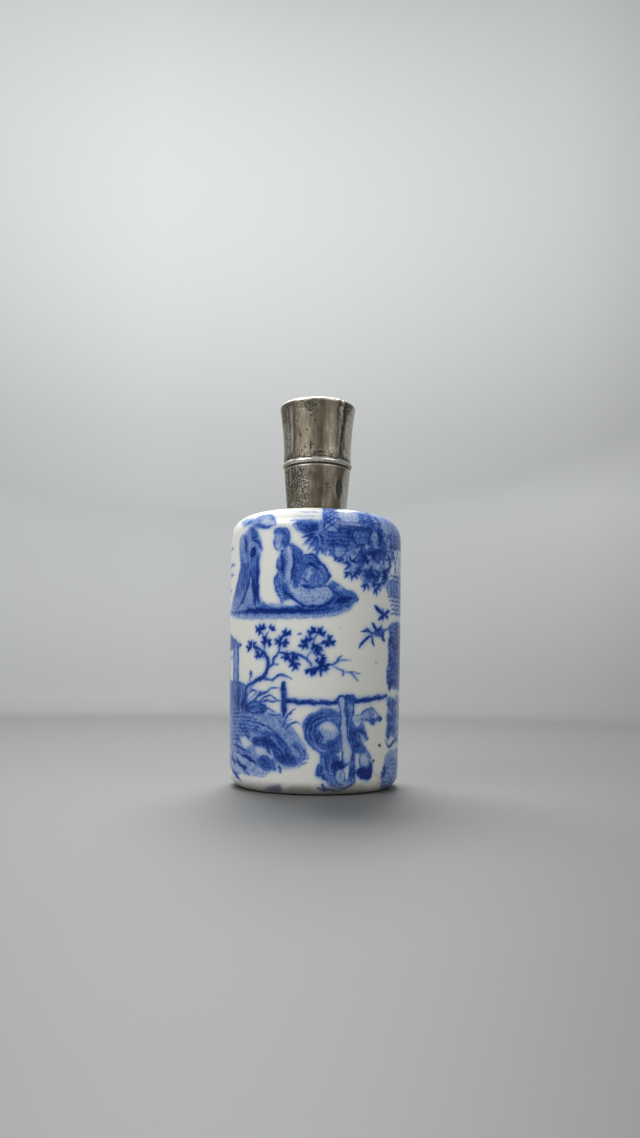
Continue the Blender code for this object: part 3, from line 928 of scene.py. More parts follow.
def draw_kneeling_figure(d):
    """A kneeling figure in a wide robe, with a plain oval for a face and flowers in its lap."""
    back = [
        (-2.1, 39.2), (-1.2, 39.5), (-0.2, 39.4), (0.6, 38.4),
        (1.6, 37.3), (2.5, 36), (2.2, 35.3), (1.8, 34.6),
    ]
    d.patch(back + [(0.6, 34.2), (-0.8, 34), (-2.2, 34.2), (-2.8, 35), (-2.6, 37)], 0.6)
    d.stroke([(-1.9, 39.3), (-0.4, 39.4), (0.8, 38.1), (2.3, 36.1), (1.9, 34.9)], 0.35, 0.97)
    d.patch(
        [(-2.4, 34.6), (-2.1, 35.8), (-1.4, 36.9), (-0.7, 37.1), (-0.6, 36.2), (-1.1, 35.5), (-0.8, 34.7)],
        0.2,
    )
    d.stroke([(-1.7, 37.6), (-0.5, 37.7), (0.5, 36.9)], 0.3, 0.97)
    d.stroke([(-1.2, 36.7), (-1.7, 35.8), (-1.9, 34.9)], 0.16, 0.75)
    d.stroke([(-0.3, 35.6), (0.2, 35.1), (1.1, 34.8)], 0.35, 0.4)
    d.stroke([(-2.4, 35.7), (-1.7, 35), (-0.9, 34.9)], 0.35, 0.97)
    d.folds([(0.9, 37.7), (0.5, 36.2), (0.6, 35)], [(1.9, 36.4), (1.5, 35.6), (1.5, 34.9)], 3, 0.2, 0.5)
    lap = [
        (-3.3, 33.8), (-2, 34.1), (-0.5, 33.7), (1, 34.1),
        (2.3, 33.9), (2.8, 33), (2.3, 32), (0.8, 31.2), (-1, 31),
    ]
    d.patch(lap + [(-2.4, 31.3), (-3.3, 32.4)], 0.18)
    for i in range(28):
        row = i // 8
        across = -2.4 + 0.62 * (i % 8) + 0.2 * (row % 2)
        d.dots([(across, 33.5 - 0.62 * row - 0.1 * (i % 3))], 0.26, 0.72)
    d.stroke([(-3.2, 33.9), (-2.1, 34.2), (-0.6, 33.8), (0.9, 34.2), (2.2, 34), (3, 33.2)], 0.32, 1)
    front = [
        (-6, 40), (-4.8, 40.4), (-4.4, 38), (-4.5, 35.5),
        (-3.9, 33.5), (-3.2, 32.3), (-4.6, 31.9), (-5.6, 31.2),
    ]
    d.patch(front + [(-6.2, 32.6), (-6.8, 34), (-7, 35.2), (-6.3, 36.4), (-6.7, 37.4), (-6.4, 38.6)], 0.4)
    d.stroke([(-5.7, 39.6), (-5.4, 38), (-5.6, 37), (-5.3, 35.9)], 0.85, 0.85)
    d.stroke([(-6.2, 38.3), (-5.9, 37.8)], 0.5, 0.35)
    d.folds(
        [(-6.4, 35.6), (-6.1, 34.2), (-5.4, 32.8), (-4.8, 31.8)],
        [(-5, 35.4), (-4.9, 34.2), (-4.3, 33), (-3.5, 32)],
        4, 0.24, 0.8,
    )
    d.stroke([(-6.1, 34.9), (-5.3, 33.7), (-4.2, 32.5), (-3, 31.6)], 0.3, 0.3)
    d.stroke(
        [(-6.4, 38.9), (-6.6, 37.6), (-6.3, 36.6), (-7, 35.2), (-6.8, 33.9), (-6.1, 32.5), (-5.6, 31.2)],
        0.28, 0.9,
    )
    d.stroke([(-5.8, 34.4), (-4.8, 33.1), (-3.4, 31.8), (-2, 31), (0, 30.7), (2, 31.1), (3, 32.2)], 0.38, 1)
    d.stroke([(-7.05, 42.9), (-7.15, 41.7), (-6.85, 40.6), (-6.3, 40.3)], 0.22, 0.8)
    d.stroke([(-1.8, 30.6), (0, 30.35), (2, 30.7)], 0.2, 0.5)
    cape = [
        (-4.6, 41.3), (-3.6, 41.1), (-2.5, 40.3), (-2.1, 39.2),
        (-2.2, 37.5), (-2.6, 35.5), (-3, 33.8), (-3.7, 33.9),
    ]
    d.patch(cape + [(-3.9, 36), (-3.7, 38), (-3.7, 39.5), (-4.3, 40.6)], 0.7)
    d.stroke([(-2.9, 40.1), (-2.7, 38.6), (-2.9, 36.8), (-3.2, 35)], 0.22, 0.55)
    d.stroke([(-3.8, 40.6), (-3.7, 38.6), (-3.9, 36.4), (-4.2, 34.6)], 0.34, 1)
    d.stroke([(-4.2, 40.2), (-4.15, 38.5), (-4.5, 36.5), (-4.9, 35)], 0.66, 0.16, (0.5, 0.4))
    hair = [
        (-7.3, 43.1), (-7, 43.9), (-6.1, 44.2), (-5, 43.9),
        (-4.3, 43.1), (-4.25, 41.9), (-4.7, 40.9), (-5.4, 40.5),
    ]
    d.patch(hair + [(-5.7, 41.6), (-5.6, 42.6), (-6.1, 43.2)], 0.69)
    d.patch(
        [(-6.95, 42.9), (-6.2, 43.1), (-5.7, 42.3), (-5.8, 41), (-6.3, 40.4), (-6.8, 40.6), (-7.05, 41.6)],
        0.24, 0.16, 0.75,
    )
    d.stroke([(-5.9, 40.3), (-5.6, 39.7)], 0.55, 0.85)
    d.stroke([(-6.6, 43.7), (-5.6, 43.9), (-4.9, 43.2), (-4.8, 42)], 0.2, 0.5)


def draw_garden_house(d):
    """A house with a lattice on the shoulder, behind broad leaves."""
    d.stroke([(-3.8, 47.3), (-1.8, 47.1), (0.4, 47)], 0.26, 0.55)
    d.stroke([(-4.4, 46.2), (-1.6, 46.1), (1, 46)], 0.18, 0.4)
    d.stroke([(-4.3, 45.3), (-1.5, 45.15), (1.2, 45.1)], 0.34, 0.75)
    d.patch([(-3.6, 44.9), (1.5, 45), (2.4, 41), (0.6, 40.4), (-0.8, 41), (-1.8, 42.6), (-3, 43.4)], 0.4)
    d.patch([(-3.3, 44.9), (-1.2, 45), (-0.9, 43.9), (-1.8, 43.2), (-2.8, 43.7)], 0.72)
    for degrees, reach in (
        (152, 2.6), (176, 3.0), (198, 3.0), (222, 3.2), (245, 3.0),
        (268, 2.8), (292, 2.6), (124, 2.2), (96, 1.8),
    ):
        d.leaf((0.3, 43.3), degrees, reach, 0.55, 0.86, 0.05)
    for degrees, reach in ((187, 2.2), (234, 2.4), (280, 2.2)):
        d.leaf((0.3, 43.2), degrees, reach, 0.24, 0.3)
    d.patch([(1.7, 45), (8.4, 45.2), (8.2, 43.5), (6.4, 41), (1.9, 40.9)], 0.51)
    for i in range(6):
        d.stroke([(2, 44.5 - 0.66 * i), (4.4, 44.55 - 0.66 * i), (6.6, 44.5 - 0.66 * i)], 0.28, 0.88, (1, 1))
    d.stroke([(5.6, 44.6), (5.5, 42.8), (5.6, 41)], 0.3, 0.88)
    d.patch([(1.5, 44), (1.4, 49.4), (3.9, 49.4), (3.8, 44)], 0.2)
    for i in range(7):
        d.stroke([(1.5, 43.6 + 0.9 * i), (3.8, 45.4 + 0.9 * i)], 0.26, 1, (1, 1))
        d.stroke([(1.5, 45.4 + 0.9 * i), (3.8, 43.6 + 0.9 * i)], 0.26, 1, (1, 1))
    d.stroke([(1.4, 44), (1.3, 46.6), (1.4, 49.4)], 0.3, 0.95, (1, 1))
    d.stroke([(3.9, 44), (4, 46.6), (3.9, 49.4)], 0.3, 0.95, (1, 1))
    d.stroke([(3.9, 45.1), (6, 45.2), (8.3, 45.3)], 0.34, 0.95, (1, 0.5))
    d.patch([(4.2, 45.5), (4.3, 47.6), (7.4, 47.6), (7.8, 45.6)], 0.14)
    d.hatch([(4.2, 47.9), (4.2, 50), (8, 50), (8, 47.8)], 20, 0.5, 0.8, 0.45, 0.3)
    for i in range(4):
        d.stroke([(4.7 + 0.75 * i, 45.7), (4.9 + 0.8 * i, 47.4)], 0.26, 0.42)
    d.stroke([(4, 47.9), (7, 47.9), (10.5, 47.6)], 0.3, 0.5)
    d.patch([(7.9, 45.2), (8.2, 49.6), (12, 51), (20, 51), (27, 50.4), (27, 45), (12, 45)], 0.42)
    for i in range(5):
        d.stroke([(8.4 + 0.8 * i, 45.3), (9 + 0.75 * i, 47)], 0.3, 0.8)
    spread_stars(d, 46, (8.4, 45.8), (18, 4.8), 1.15, 53.0, (3, 4), 60, 0.4, (0.92, 0.1, 0.84, 0.72))


def draw_dense_foliage(d):
    """The dark mass of leaves at the upper right, thinning out into single sprays."""
    ring = [(7.9 + 1.75 * math.cos(a), 42.9 + 1.55 * math.sin(a)) for a in np.arange(8) * math.tau / 8]
    mass = [
        (5.6, 40.6), (8, 44.6), (12, 46.4), (15.2, 46.6), (16.2, 44), (15.9, 40.5), (14.8, 38.9), (13, 39.4)
    ]
    mass += [
        (12.6, 38), (13.1, 37.2), (12.2, 36.2), (11.3, 35.2), (9.8, 34.3),
        (8.6, 34.7), (7.6, 36.1), (6.2, 36.4), (5.6, 37.4), (6.6, 39.4),
    ]
    d.patch(mass, 0.48)
    d.patch(ring, 0.5, 0.34)
    d.stroke([(7, 43.6), (7.9, 44), (8.9, 43.5)], 0.28, 0.9)
    d.stroke([(7, 42.4), (8, 42.8), (9, 42.4)], 0.24, 0.85)
    for i in range(90):
        across = 10.6 + 5.2 * math.sqrt(i / 90) * math.cos(2.4 * i)
        up = 40.5 + 6.1 * math.sqrt(i / 90) * math.sin(2.4 * i)
        off_drum = math.hypot(across - 7.9, up - 42.9) > 1.9
        if off_drum and (up > 34.8 or across > 9) and (across > 7 or up < 40):
            tone = (0.95, 0.72, 0.86, 0.2)[i % 4]
            d.star((across, up), 0.95 + 0.25 * (i % 3), 77.0 * i, 3 + i % 2, 58, 0.42, tone)
    for at in (
        (9, 41.3), (12.4, 38.7), (7.1, 40.5), (11.4, 37.9),
        (13.4, 43), (10.9, 43.4), (14.6, 41.6), (8.8, 37.9),
    ):
        d.star(at, 0.7, 40 * at[0], 3, 100, 0.4, 0.1)
    for at, turn in (
        ((5.9, 36.6), 228), ((11.1, 34.4), 285), ((5.8, 37.9), 170), ((8.9, 34.9), 250), ((12.9, 37.1), -12)
    ):
        d.star(at, 1.5, turn, 3, 48, 0.42)
    d.leaf((12.4, 37.3), -14, 1.9, 0.75, 0.95)
    d.star((3.8, 39.1), 1.1, 250, 4, 62, 0.5)
    d.leaf((3.6, 38.4), 15, 1.2, 0.5, 0.92)
    d.star((5.6, 40.3), 0.9, 200, 3, 60, 0.36, 0.6)
    hanging = [
        (-0.4, 41.4), (0.6, 40.7), (1.7, 40.6), (2.7, 40.3),
        (3.4, 40.5), (4.4, 40.6), (5.2, 40.9), (4.3, 39.6),
    ]
    for i, at in enumerate(hanging):
        d.star(at, 1.5, 236 + 17 * (i % 4), 3, 44, 0.46, (0.6, 0.8, 0.5, 0.72)[i % 4])
    d.patch([(2.9, 40.9), (3.1, 39.4), (3.9, 38.9), (4.7, 39.6), (5.2, 40.9)], 0.4, 0.3, 0.8)


def draw_terrace(d):
    """The right-hand side: a railing, a clipped hedge and round shrubs, drawn in duller tones as a painted
    sheen where the light falls.
    """
    d.patch([(15.6, 42.2), (15.4, 45.2), (20, 45.8), (27, 45.4), (27, 42.6), (20, 42.4)], 0.4)
    ledge = [(15.6, 42.3), (15.4, 45.2), (20, 45.8), (27, 45.4), (27, 42.6), (20, 42.4)]
    d.hatch(ledge, 3, 0.75, 0.75, 0.45, 0.1)
    d.stroke([(13.4, 41.9), (17, 41.9), (21, 42.4), (27, 42.7)], 0.62, 0.88)
    for i in range(5):
        across = 16.2 + 2.2 * i
        d.stroke([(across, 41.2), (across + 1.4, 37.5)], 0.34, 0.72, (1, 1))
        d.stroke([(across + 1.9, 41.2), (across + 0.5, 37.5)], 0.34, 0.6, (1, 1))
    d.patch([(15.1, 33.3), (15.1, 36.1), (26.4, 36.3), (26.4, 33.5)], 0.34)
    d.stroke([(15, 36.8), (20, 36.9), (26.9, 37)], 0.42, 0.88)
    d.stroke([(15.2, 36.0), (20, 36.1), (26.6, 36.2)], 0.3, 0.88)
    d.stroke([(26.5, 41.6), (26.6, 37), (26.5, 33.4)], 0.5, 0.88, (1, 1))
    for i in range(11):
        d.stroke([(15.4 + 1.05 * i, 33.4), (15.4 + 1.05 * i, 35.9)], 0.36, 0.78, (1, 1))
    for i, start in enumerate((14.2, 14.8, 15.2, 15.6, 15.2)):
        d.stroke([(start, 33.15 - 0.72 * i), (20, 33.3 - 0.72 * i), (27, 33.4 - 0.72 * i)], 0.36, 0.86)
    hedge = [
        (14.9, 28.2), (19, 28.9), (24.6, 28.4), (26.6, 26.8), (25.9, 24.4), (27.2, 21.8), (26, 19),
        (24.4, 17.4), (18, 17.2), (14.6, 18.1), (14.3, 20.6), (14.9, 22.6), (14.5, 24.6), (15, 26),
    ]
    d.patch(hedge, 0.46)
    d.hatch(hedge, 4, 0.9, 0.8, 0.42, 0.22)
    for i in range(44):
        at = (15 + 0.26 * (i * 7 % 44), 17.6 + 10.4 * (i * 0.618 % 1))
        d.star(at, 0.9, 61.0 * i, 3, 60, 0.36, 0.88)
    shrubs = [
        (14.4, 15.4), (15.2, 16.1), (17, 15.6), (19, 16.2), (22, 15.5), (25, 15.9),
        (26.8, 14), (25.6, 11.8), (26.4, 9.4), (22, 9.3), (19, 8.6),
    ]
    shrubs += [(16.8, 9.2), (15, 8.9), (14.2, 9.9), (14.7, 11.3), (14.3, 12.6), (14.9, 13.8)]
    d.patch(shrubs, 0.42)
    spread_stars(d, 58, (14.9, 9.4), (12, 6.2), 0.95, 75.0, (3,), 66, 0.38, (0.85, 0.7, 0.9, 0.12))
    d.stroke(
        [(14.2, 8.6), (15.1, 7.7), (16.3, 7.7), (18.4, 8.5), (22, 8.2), (26, 8.6)], 0.55, 0.85, (0.3, 0.3)
    )
    d.stroke([(15.4, 6.8), (19, 6.6), (24, 6.9)], 0.26, 0.6)
    d.patch([(14.4, 0.4), (14, 4.8), (14.6, 6.4), (18, 6.9), (27, 6.8), (27, 0.2)], 0.3)
    d.hatch([(14.4, 0.4), (14.2, 4.8), (18, 5.6), (27, 5.4), (27, 0.2)], 5, 0.8, 0.62, 0.4, 0.2)
    d.stroke([(13.3, 2.3), (14, 3.1), (14.3, 4.6)], 0.5, 0.85)
    d.star((14.2, 2.9), 1.4, 130, 4, 40, 0.4, 0.85)


def draw_hanging_leaves(d):
    """Two loose leaf sprays that reach in from the hedge."""
    for degrees, reach, wide in (
        (148, 2.7, 0.62), (212, 1.9, 0.5), (100, 1.2, 0.4), (20, 2.2, 0.6), (-25, 1.6, 0.5), (250, 1.1, 0.4)
    ):
        d.leaf((13.1, 29.9), degrees, reach, wide, 0.93, 0.05)
    d.stroke([(15.6, 28), (13.4, 27.2), (11.5, 26.7), (9.6, 26.6)], 0.3, 0.85)
    d.patch([(10.9, 26.3), (10.9, 27.2), (12, 27.6), (13.1, 27.4), (13.3, 26.3), (12.2, 26)], 0.7)
    for at, degrees, reach, wide in (
        ((12.6, 26.6), -48, 1.6, 0.6),
        ((11.2, 27), 128, 1.7, 0.6),
        ((10.6, 26.6), 176, 2.6, 0.5),
        ((10.2, 26.2), 220, 3.4, 0.62),
        ((10.4, 26.2), 282, 1.9, 0.46),
        ((12, 27.2), 60, 1.2, 0.5),
        ((9.9, 26.7), 140, 1.2, 0.36),
    ):
        d.leaf(at, degrees, reach, wide, 0.92, -0.09)


def draw_pavilion(d):
    """The left-hand side: an open garden house with a sloping roof on a boarded base."""
    d.patch([(-28, 27.6), (-23, 26.9), (-19, 25.9), (-14.9, 24.5), (-17, 24.1), (-28, 23.8)], 0.48)
    d.hatch([(-28, 27.4), (-23, 26.7), (-19, 25.7), (-16, 24.7), (-28, 24.2)], -12, 0.62, 0.8, 0.4)
    d.stroke([(-28, 27.5), (-23, 26.9), (-19, 25.9), (-14.7, 24.5)], 0.34, 0.82)
    d.stroke([(-28, 23.8), (-20, 24), (-16.4, 24.2), (-14.6, 24.5)], 0.34, 0.92)
    for across, wide in ((-26.6, 0.5), (-24.3, 0.4), (-21.2, 0.5), (-17.8, 0.55), (-15.9, 0.55)):
        d.stroke([(across, 18), (across, 24)], wide, 0.84, (1, 1))
    d.patch([(-17.5, 18.2), (-17.5, 23.8), (-16.2, 23.8), (-16.2, 18.2)], 0.3)
    d.stroke([(-21, 22.9), (-19.4, 22.2), (-18, 22.9)], 0.24, 0.6)
    block = [
        (-28, 18.2), (-19, 18.2), (-14.2, 18), (-12.8, 17.2),
        (-12.6, 14), (-12.8, 12.8), (-20, 12.6), (-28, 12.8),
    ]
    d.patch(block, 0.46)
    d.hatch(block, 88, 0.95, 0.8, 0.36, 0.05)
    d.stroke([(-28, 18.2), (-19, 18.2), (-14, 18)], 0.26, 0.8, (1, 0.4))
    d.stroke([(-15.7, 17.4), (-15.7, 13.2)], 0.55, 0.92)
    d.stroke([(-14.4, 15.2), (-14.4, 13.5)], 0.4, 0.92)
    for at, reach in (
        ((-23.6, 42.1), 4.6), ((-24, 39.1), 6.4), ((-23.6, 37.3), 5.2), ((-24, 34.5), 4.6), ((-24, 45), 4)
    ):
        d.leaf(at, -3, reach, 0.62, 0.62)


def draw_bank(d):
    """The near bank at the lower left: rippling water, long blades, rocks and tufts."""
    shape = [
        (-22, 12.7), (-13, 13), (-8, 13.3), (-5.2, 12.3), (-2.8, 10.2), (-1.2, 7.6), (-1.4, 6), (-3.2, 5.1)
    ]
    shape += [(-6, 5), (-9, 4.4), (-12, 3.5), (-15.4, 2.6), (-18.6, 3), (-22, 4.6)]
    d.patch(shape, 0.35)
    ripples = [
        (-19.5, -0.2), (-16.5, 0), (-13.5, 0.05), (-10.5, -0.25), (-8.2, -0.9), (-6.2, -1.7), (-4.4, -2.9)
    ]
    for i in range(8):
        reach = 3 + i % 5
        points = [(a + 0.5 * (i % 3), 12.9 - 0.62 * i + b * (1 + 0.05 * i)) for a, b in ripples[:reach]]
        d.stroke(points, 0.34, 0.86 if i % 2 else 0.74, (0.3, 0.2))
        d.stroke([(a + 0.8, b + 0.3) for a, b in points], 0.2, 0.22, (0.3, 0.3))
    d.patch(
        [
            (-13.2, 14), (-12, 14.7), (-10.4, 15), (-8.8, 14.4),
            (-8.4, 13.7), (-9.6, 13.2), (-11.6, 13.1), (-12.8, 13.4),
        ],
        0.58, 0.26,
    )
    d.stroke([(-12.2, 13.9), (-10.6, 14.1), (-9.2, 13.8)], 0.22, 0.95)
    d.stroke([(-12.4, 14.4), (-10.6, 14.6), (-9.4, 14.3)], 0.16, 0.45)
    d.patch([(-15.2, 8.4), (-13.7, 9.2), (-11.4, 8.3), (-12.3, 7.4), (-14.6, 7.2)], 0.06)
    d.patch([(-10.4, 7.6), (-8.6, 7.4), (-6.8, 6.4), (-7.4, 5.8), (-9, 5.9), (-10.6, 6.7)], 0.08)
    d.patch([(-19, 6.4), (-15, 6.3), (-11, 4.6), (-12, 3.7), (-15, 3), (-19, 4)], 0.14)
    d.patch([(-11.2, 8.9), (-9, 9.3), (-6.6, 9), (-6, 8), (-8, 7.5), (-10.6, 7.8)], 0.74)
    d.patch([(-7.7, 8.2), (-6, 8.3), (-4.2, 7.1), (-2.6, 5.6), (-2.9, 4.7), (-5.2, 4.9), (-6.6, 6)], 0.78)
    d.patch([(-10, 5.2), (-9.5, 6.2), (-8.2, 6.2), (-6.8, 5.2), (-6.4, 4.2), (-8, 3.8), (-9.4, 4.1)], 0.68)
    for points, wide, tone in (
        ([(-15.8, 10.9), (-14, 10.2), (-12.6, 8.9), (-10.8, 8)], 0.3, 0.9),
        ([(-14.4, 10.6), (-12.8, 10.2), (-11.6, 9.3)], 0.2, 0.85),
        ([(-10, 11.4), (-8, 10.8), (-6.2, 9.6), (-4.6, 8.2)], 0.3, 0.92),
        ([(-9.4, 10.9), (-7.6, 10.3), (-6, 9.2)], 0.2, 0.1),
        ([(-7.6, 9.4), (-6.2, 8.4), (-5.2, 7.2), (-4.4, 6)], 0.24, 0.15),
        ([(-6.6, 8.6), (-5.2, 7.4), (-4.2, 6)], 0.16, 0.3),
        ([(-8.4, 10.2), (-6.8, 9.6), (-5, 8.4), (-3.6, 7)], 0.36, 0.9),
        ([(-11, 8.4), (-9.4, 8.7), (-7.6, 8.3)], 0.2, 0.98),
        ([(-8.2, 8), (-7.9, 7), (-7.3, 6.3)], 0.34, 0.98),
        ([(-6.4, 7.4), (-5.6, 6.4), (-5.2, 5.4)], 0.4, 0.98),
        ([(-4.6, 6.8), (-3.8, 6), (-3.6, 5.2)], 0.36, 0.98),
        ([(-9.4, 5.7), (-8.4, 5.2), (-7.6, 4.4)], 0.26, 0.96),
        ([(-17, 9.4), (-15.4, 8.7), (-14.2, 7.2)], 0.24, 0.85),
        ([(-18.6, 7.6), (-16.6, 7.4), (-14.2, 7), (-11.9, 6.5)], 0.38, 0.95),
        ([(-17.8, 6.4), (-15.4, 6.2), (-13.6, 5.7), (-11.4, 5)], 0.3, 0.9),
        ([(-14.4, 6), (-13, 5.8), (-11.4, 5.2), (-10.2, 4.5)], 0.56, 1),
        ([(-17, 5.8), (-15.6, 4.6), (-14, 3.9), (-12, 2.7)], 0.6, 1),
        ([(-15.2, 4.1), (-13.8, 4.2), (-12.6, 3.7)], 0.44, 1),
        ([(-18.8, 3), (-16.8, 2.5), (-14.7, 1.5)], 0.5, 0.95),
        ([(-20.5, 5.6), (-18.2, 4.9), (-16, 4.6)], 0.5, 0.95),
        ([(-18.6, 7), (-18, 5), (-16.6, 3.6)], 0.5, 0.9),
        ([(-12.6, 3.8), (-11, 3.6), (-9.4, 3.2), (-8, 3.3)], 0.24, 0.5),
        ([(-11.6, 3.1), (-10, 2.8), (-8.6, 2.9)], 0.2, 0.4),
        ([(-13.4, 4.8), (-11.6, 4.3), (-9.8, 3.7)], 0.22, 0.6),
        ([(-3.4, 8.4), (-2.6, 7.6), (-1.8, 6.4)], 0.24, 0.85),
        ([(-2.6, 8.6), (-1.8, 7.6), (-1.2, 6.4)], 0.2, 0.75),
        ([(-2.8, 6.2), (-1.6, 5.9), (-0.6, 6)], 0.2, 0.6),
        ([(-2.8, 5.5), (-1.8, 5.2), (-0.9, 5.4)], 0.2, 0.55),
    ):
        d.stroke(points, wide, tone, (0.2, 0.1))
    d.folds([(-6.8, 7.4), (-5.8, 6.8), (-5.4, 5.7)], [(-4.6, 7.3), (-3.9, 6.6), (-3.6, 5.6)], 3, 0.16, 0.4)
    d.hatch(
        [(-13, 4), (-9, 3.8), (-5.4, 4.6), (-1.6, 5.4), (-2.4, 4.6), (-6, 3.9), (-10, 3), (-13.4, 2.8)],
        60, 0.5, 0.5, 0.4, 0.2,
    )
    d.stroke([(-5.9, 4.6), (-5.5, 3.7)], 0.32, 0.98, (1, 1))
    d.hatch([(-3.4, 8.6), (-2.2, 8.2), (-1, 7), (-0.7, 6.2), (-2, 5.6), (-2.8, 6.6)], 35, 0.5, 0.66, 0.5, 0.2)


def draw_grasses(d):
    """Long grass round the fence post."""
    for points, wide, tone in (
        ([(-12.6, 15), (-11, 16.2), (-9.2, 16.6), (-8, 16.4)], 0.28, 0.5),
        ([(-12, 14.9), (-10.2, 15.8), (-8.4, 16.7), (-7, 17.3), (-5.6, 17.3)], 0.3, 0.82),
        ([(-10, 15), (-8.8, 15.8), (-7.6, 16), (-6.6, 15.6), (-6, 15)], 0.28, 0.85),
        ([(-11.4, 15), (-10, 16), (-9.4, 16.7)], 0.3, 0.85),
        ([(-12.2, 16.3), (-11.4, 16.9), (-10, 16.7)], 0.32, 0.85),
        ([(-12.6, 15.6), (-12.2, 16.9), (-11.2, 17.7)], 0.24, 0.5),
        ([(-9.6, 15.1), (-8, 15.3), (-6.6, 14.9)], 0.24, 0.6),
        ([(-8.4, 13.9), (-7.4, 13.7), (-6.4, 13.4)], 0.34, 0.85),
        ([(-8, 13), (-7.2, 12.8), (-6, 13), (-5.4, 12.4)], 0.24, 0.8),
        ([(-5.2, 11), (-4.6, 12.4), (-4, 13.3), (-2.9, 14)], 0.28, 0.85),
        ([(-5, 10.6), (-4.2, 11.3), (-3.2, 11.8), (-2.2, 11.5)], 0.34, 0.85),
        ([(-4.9, 9.8), (-3.9, 10.2), (-3, 10.1)], 0.26, 0.6),
        ([(-5.6, 11.6), (-5.9, 12.4), (-6.6, 12.6)], 0.24, 0.7),
        ([(-4.8, 12), (-3.6, 12.4)], 0.24, 0.55),
    ):
        d.stroke(points, wide, tone, (0.5, 0.1))


def draw_tree(d):
    """A leaning tree with starry leaves over the fence."""
    d.stroke([(-14.2, 13.4), (-13.6, 15.6), (-12.9, 17.2), (-11.6, 18), (-9.4, 18.9)], 0.62, 0.82, (0.8, 1))
    d.stroke([(-13.2, 16), (-12.4, 17.3), (-10.6, 18.1)], 0.2, 0.4)
    d.stroke(
        [(-10.6, 18.5), (-9, 19.2), (-8.2, 20.3), (-8.1, 21.6), (-8.7, 22.9), (-9.8, 23.7), (-11.4, 24)],
        0.62, 0.86, (1, 0.3),
    )
    d.stroke(
        [(-9.4, 19), (-8.3, 18.7), (-7.2, 18.7), (-6, 19.3), (-5, 19.4), (-3.6, 18.6)], 0.42, 0.8, (1, 0.2)
    )
    d.stroke([(-8.2, 20.4), (-7.2, 21.2), (-6.9, 22.2), (-6.2, 23.1), (-5.9, 24.4)], 0.42, 0.84, (1, 0.5))
    d.stroke([(-7.2, 21.1), (-6.1, 21.3)], 0.28, 0.8)
    d.stroke([(-8.7, 22.8), (-8.9, 24.4), (-8.8, 25.8)], 0.32, 0.82)
    d.stroke([(-8.9, 25.6), (-9.6, 26.6)], 0.28, 0.8)
    d.stroke([(-8.8, 25.6), (-8, 26.6)], 0.28, 0.8)
    d.stroke(
        [(-6, 23.1), (-4.6, 23), (-3, 22.9), (-1.8, 22.5), (-0.9, 21.7), (-0.4, 20.9)], 0.36, 0.86, (1, 0.6)
    )
    d.stroke([(-1.4, 22.3), (-0.4, 23.4), (-0.2, 24.6), (0.2, 26)], 0.26, 0.82)
    d.stroke([(-0.2, 24.2), (1.2, 24.8)], 0.24, 0.8)
    d.stroke([(0.8, 20.9), (2.2, 21), (3.2, 21.4), (4, 22.2), (4.5, 22.8)], 0.34, 0.84, (1, 0.3))
    d.stroke([(3, 21.3), (4.4, 21.9), (6.2, 22.1)], 0.26, 0.6, (1, 0.3))
    d.stroke([(3.2, 21), (4.6, 20.2), (6, 20), (8.2, 19.9)], 0.24, 0.66, (1, 0.3))
    d.stroke([(6, 20), (6.8, 19.3), (7.6, 18.6)], 0.24, 0.66, (1, 0.3))
    d.stroke([(4.8, 20.1), (4.8, 19.4)], 0.26, 0.8)
    for at, size, turn, count in (
        ((-9.7, 26.9), 1.35, 150, 5),
        ((-9.5, 27), 1.1, 60, 3),
        ((-7.5, 26.9), 1.1, 70, 4),
        ((-4.7, 26), 1.25, 100, 5),
        ((-5.7, 25), 1.3, 160, 5),
        ((-5.2, 24.8), 1.0, 330, 4),
        ((-8.5, 25), 1.15, 160, 4),
        ((-8.2, 24.7), 1.0, 10, 4),
        ((-11.9, 24), 1.5, 150, 4),
        ((-11.3, 24.1), 1.3, 20, 4),
        ((-10.1, 22.8), 1.0, 200, 5),
        ((-9.6, 23), 0.9, 320, 3),
        ((-4.4, 22.5), 1.3, 190, 5),
        ((-3.6, 22.3), 1.2, 340, 5),
        ((-3.2, 21.3), 1.3, 250, 5),
        ((-1.4, 24.5), 1.25, 190, 5),
        ((-0.9, 25), 1.1, 100, 4),
        ((0.3, 24.2), 1.3, 250, 5),
        ((0.5, 23.6), 1.1, 300, 3),
        ((-0.2, 26.4), 1.2, 140, 4),
        ((0.8, 26.3), 1.25, 60, 5),
        ((2.3, 25), 1.4, 30, 4),
        ((2, 24.9), 1.0, 230, 4),
        ((1.3, 22.2), 0.8, 40, 4),
        ((-0.6, 20.4), 1.3, 250, 4),
        ((0.6, 20.8), 1.7, 290, 5),
        ((0.8, 21.4), 1.2, 80, 4),
        ((1.6, 20.8), 1.1, 340, 3),
    ):
        d.star(at, size, turn, count, 46, 0.47, 0.95)
    d.leaf((-11.9, 19.1), 88, 1.1, 0.8, 0.66)
    d.stroke([(-12.2, 19), (-12, 18.2)], 0.2, 0.7)
    d.leaf((-2.9, 26.1), 10, 0.7, 0.34, 0.8)


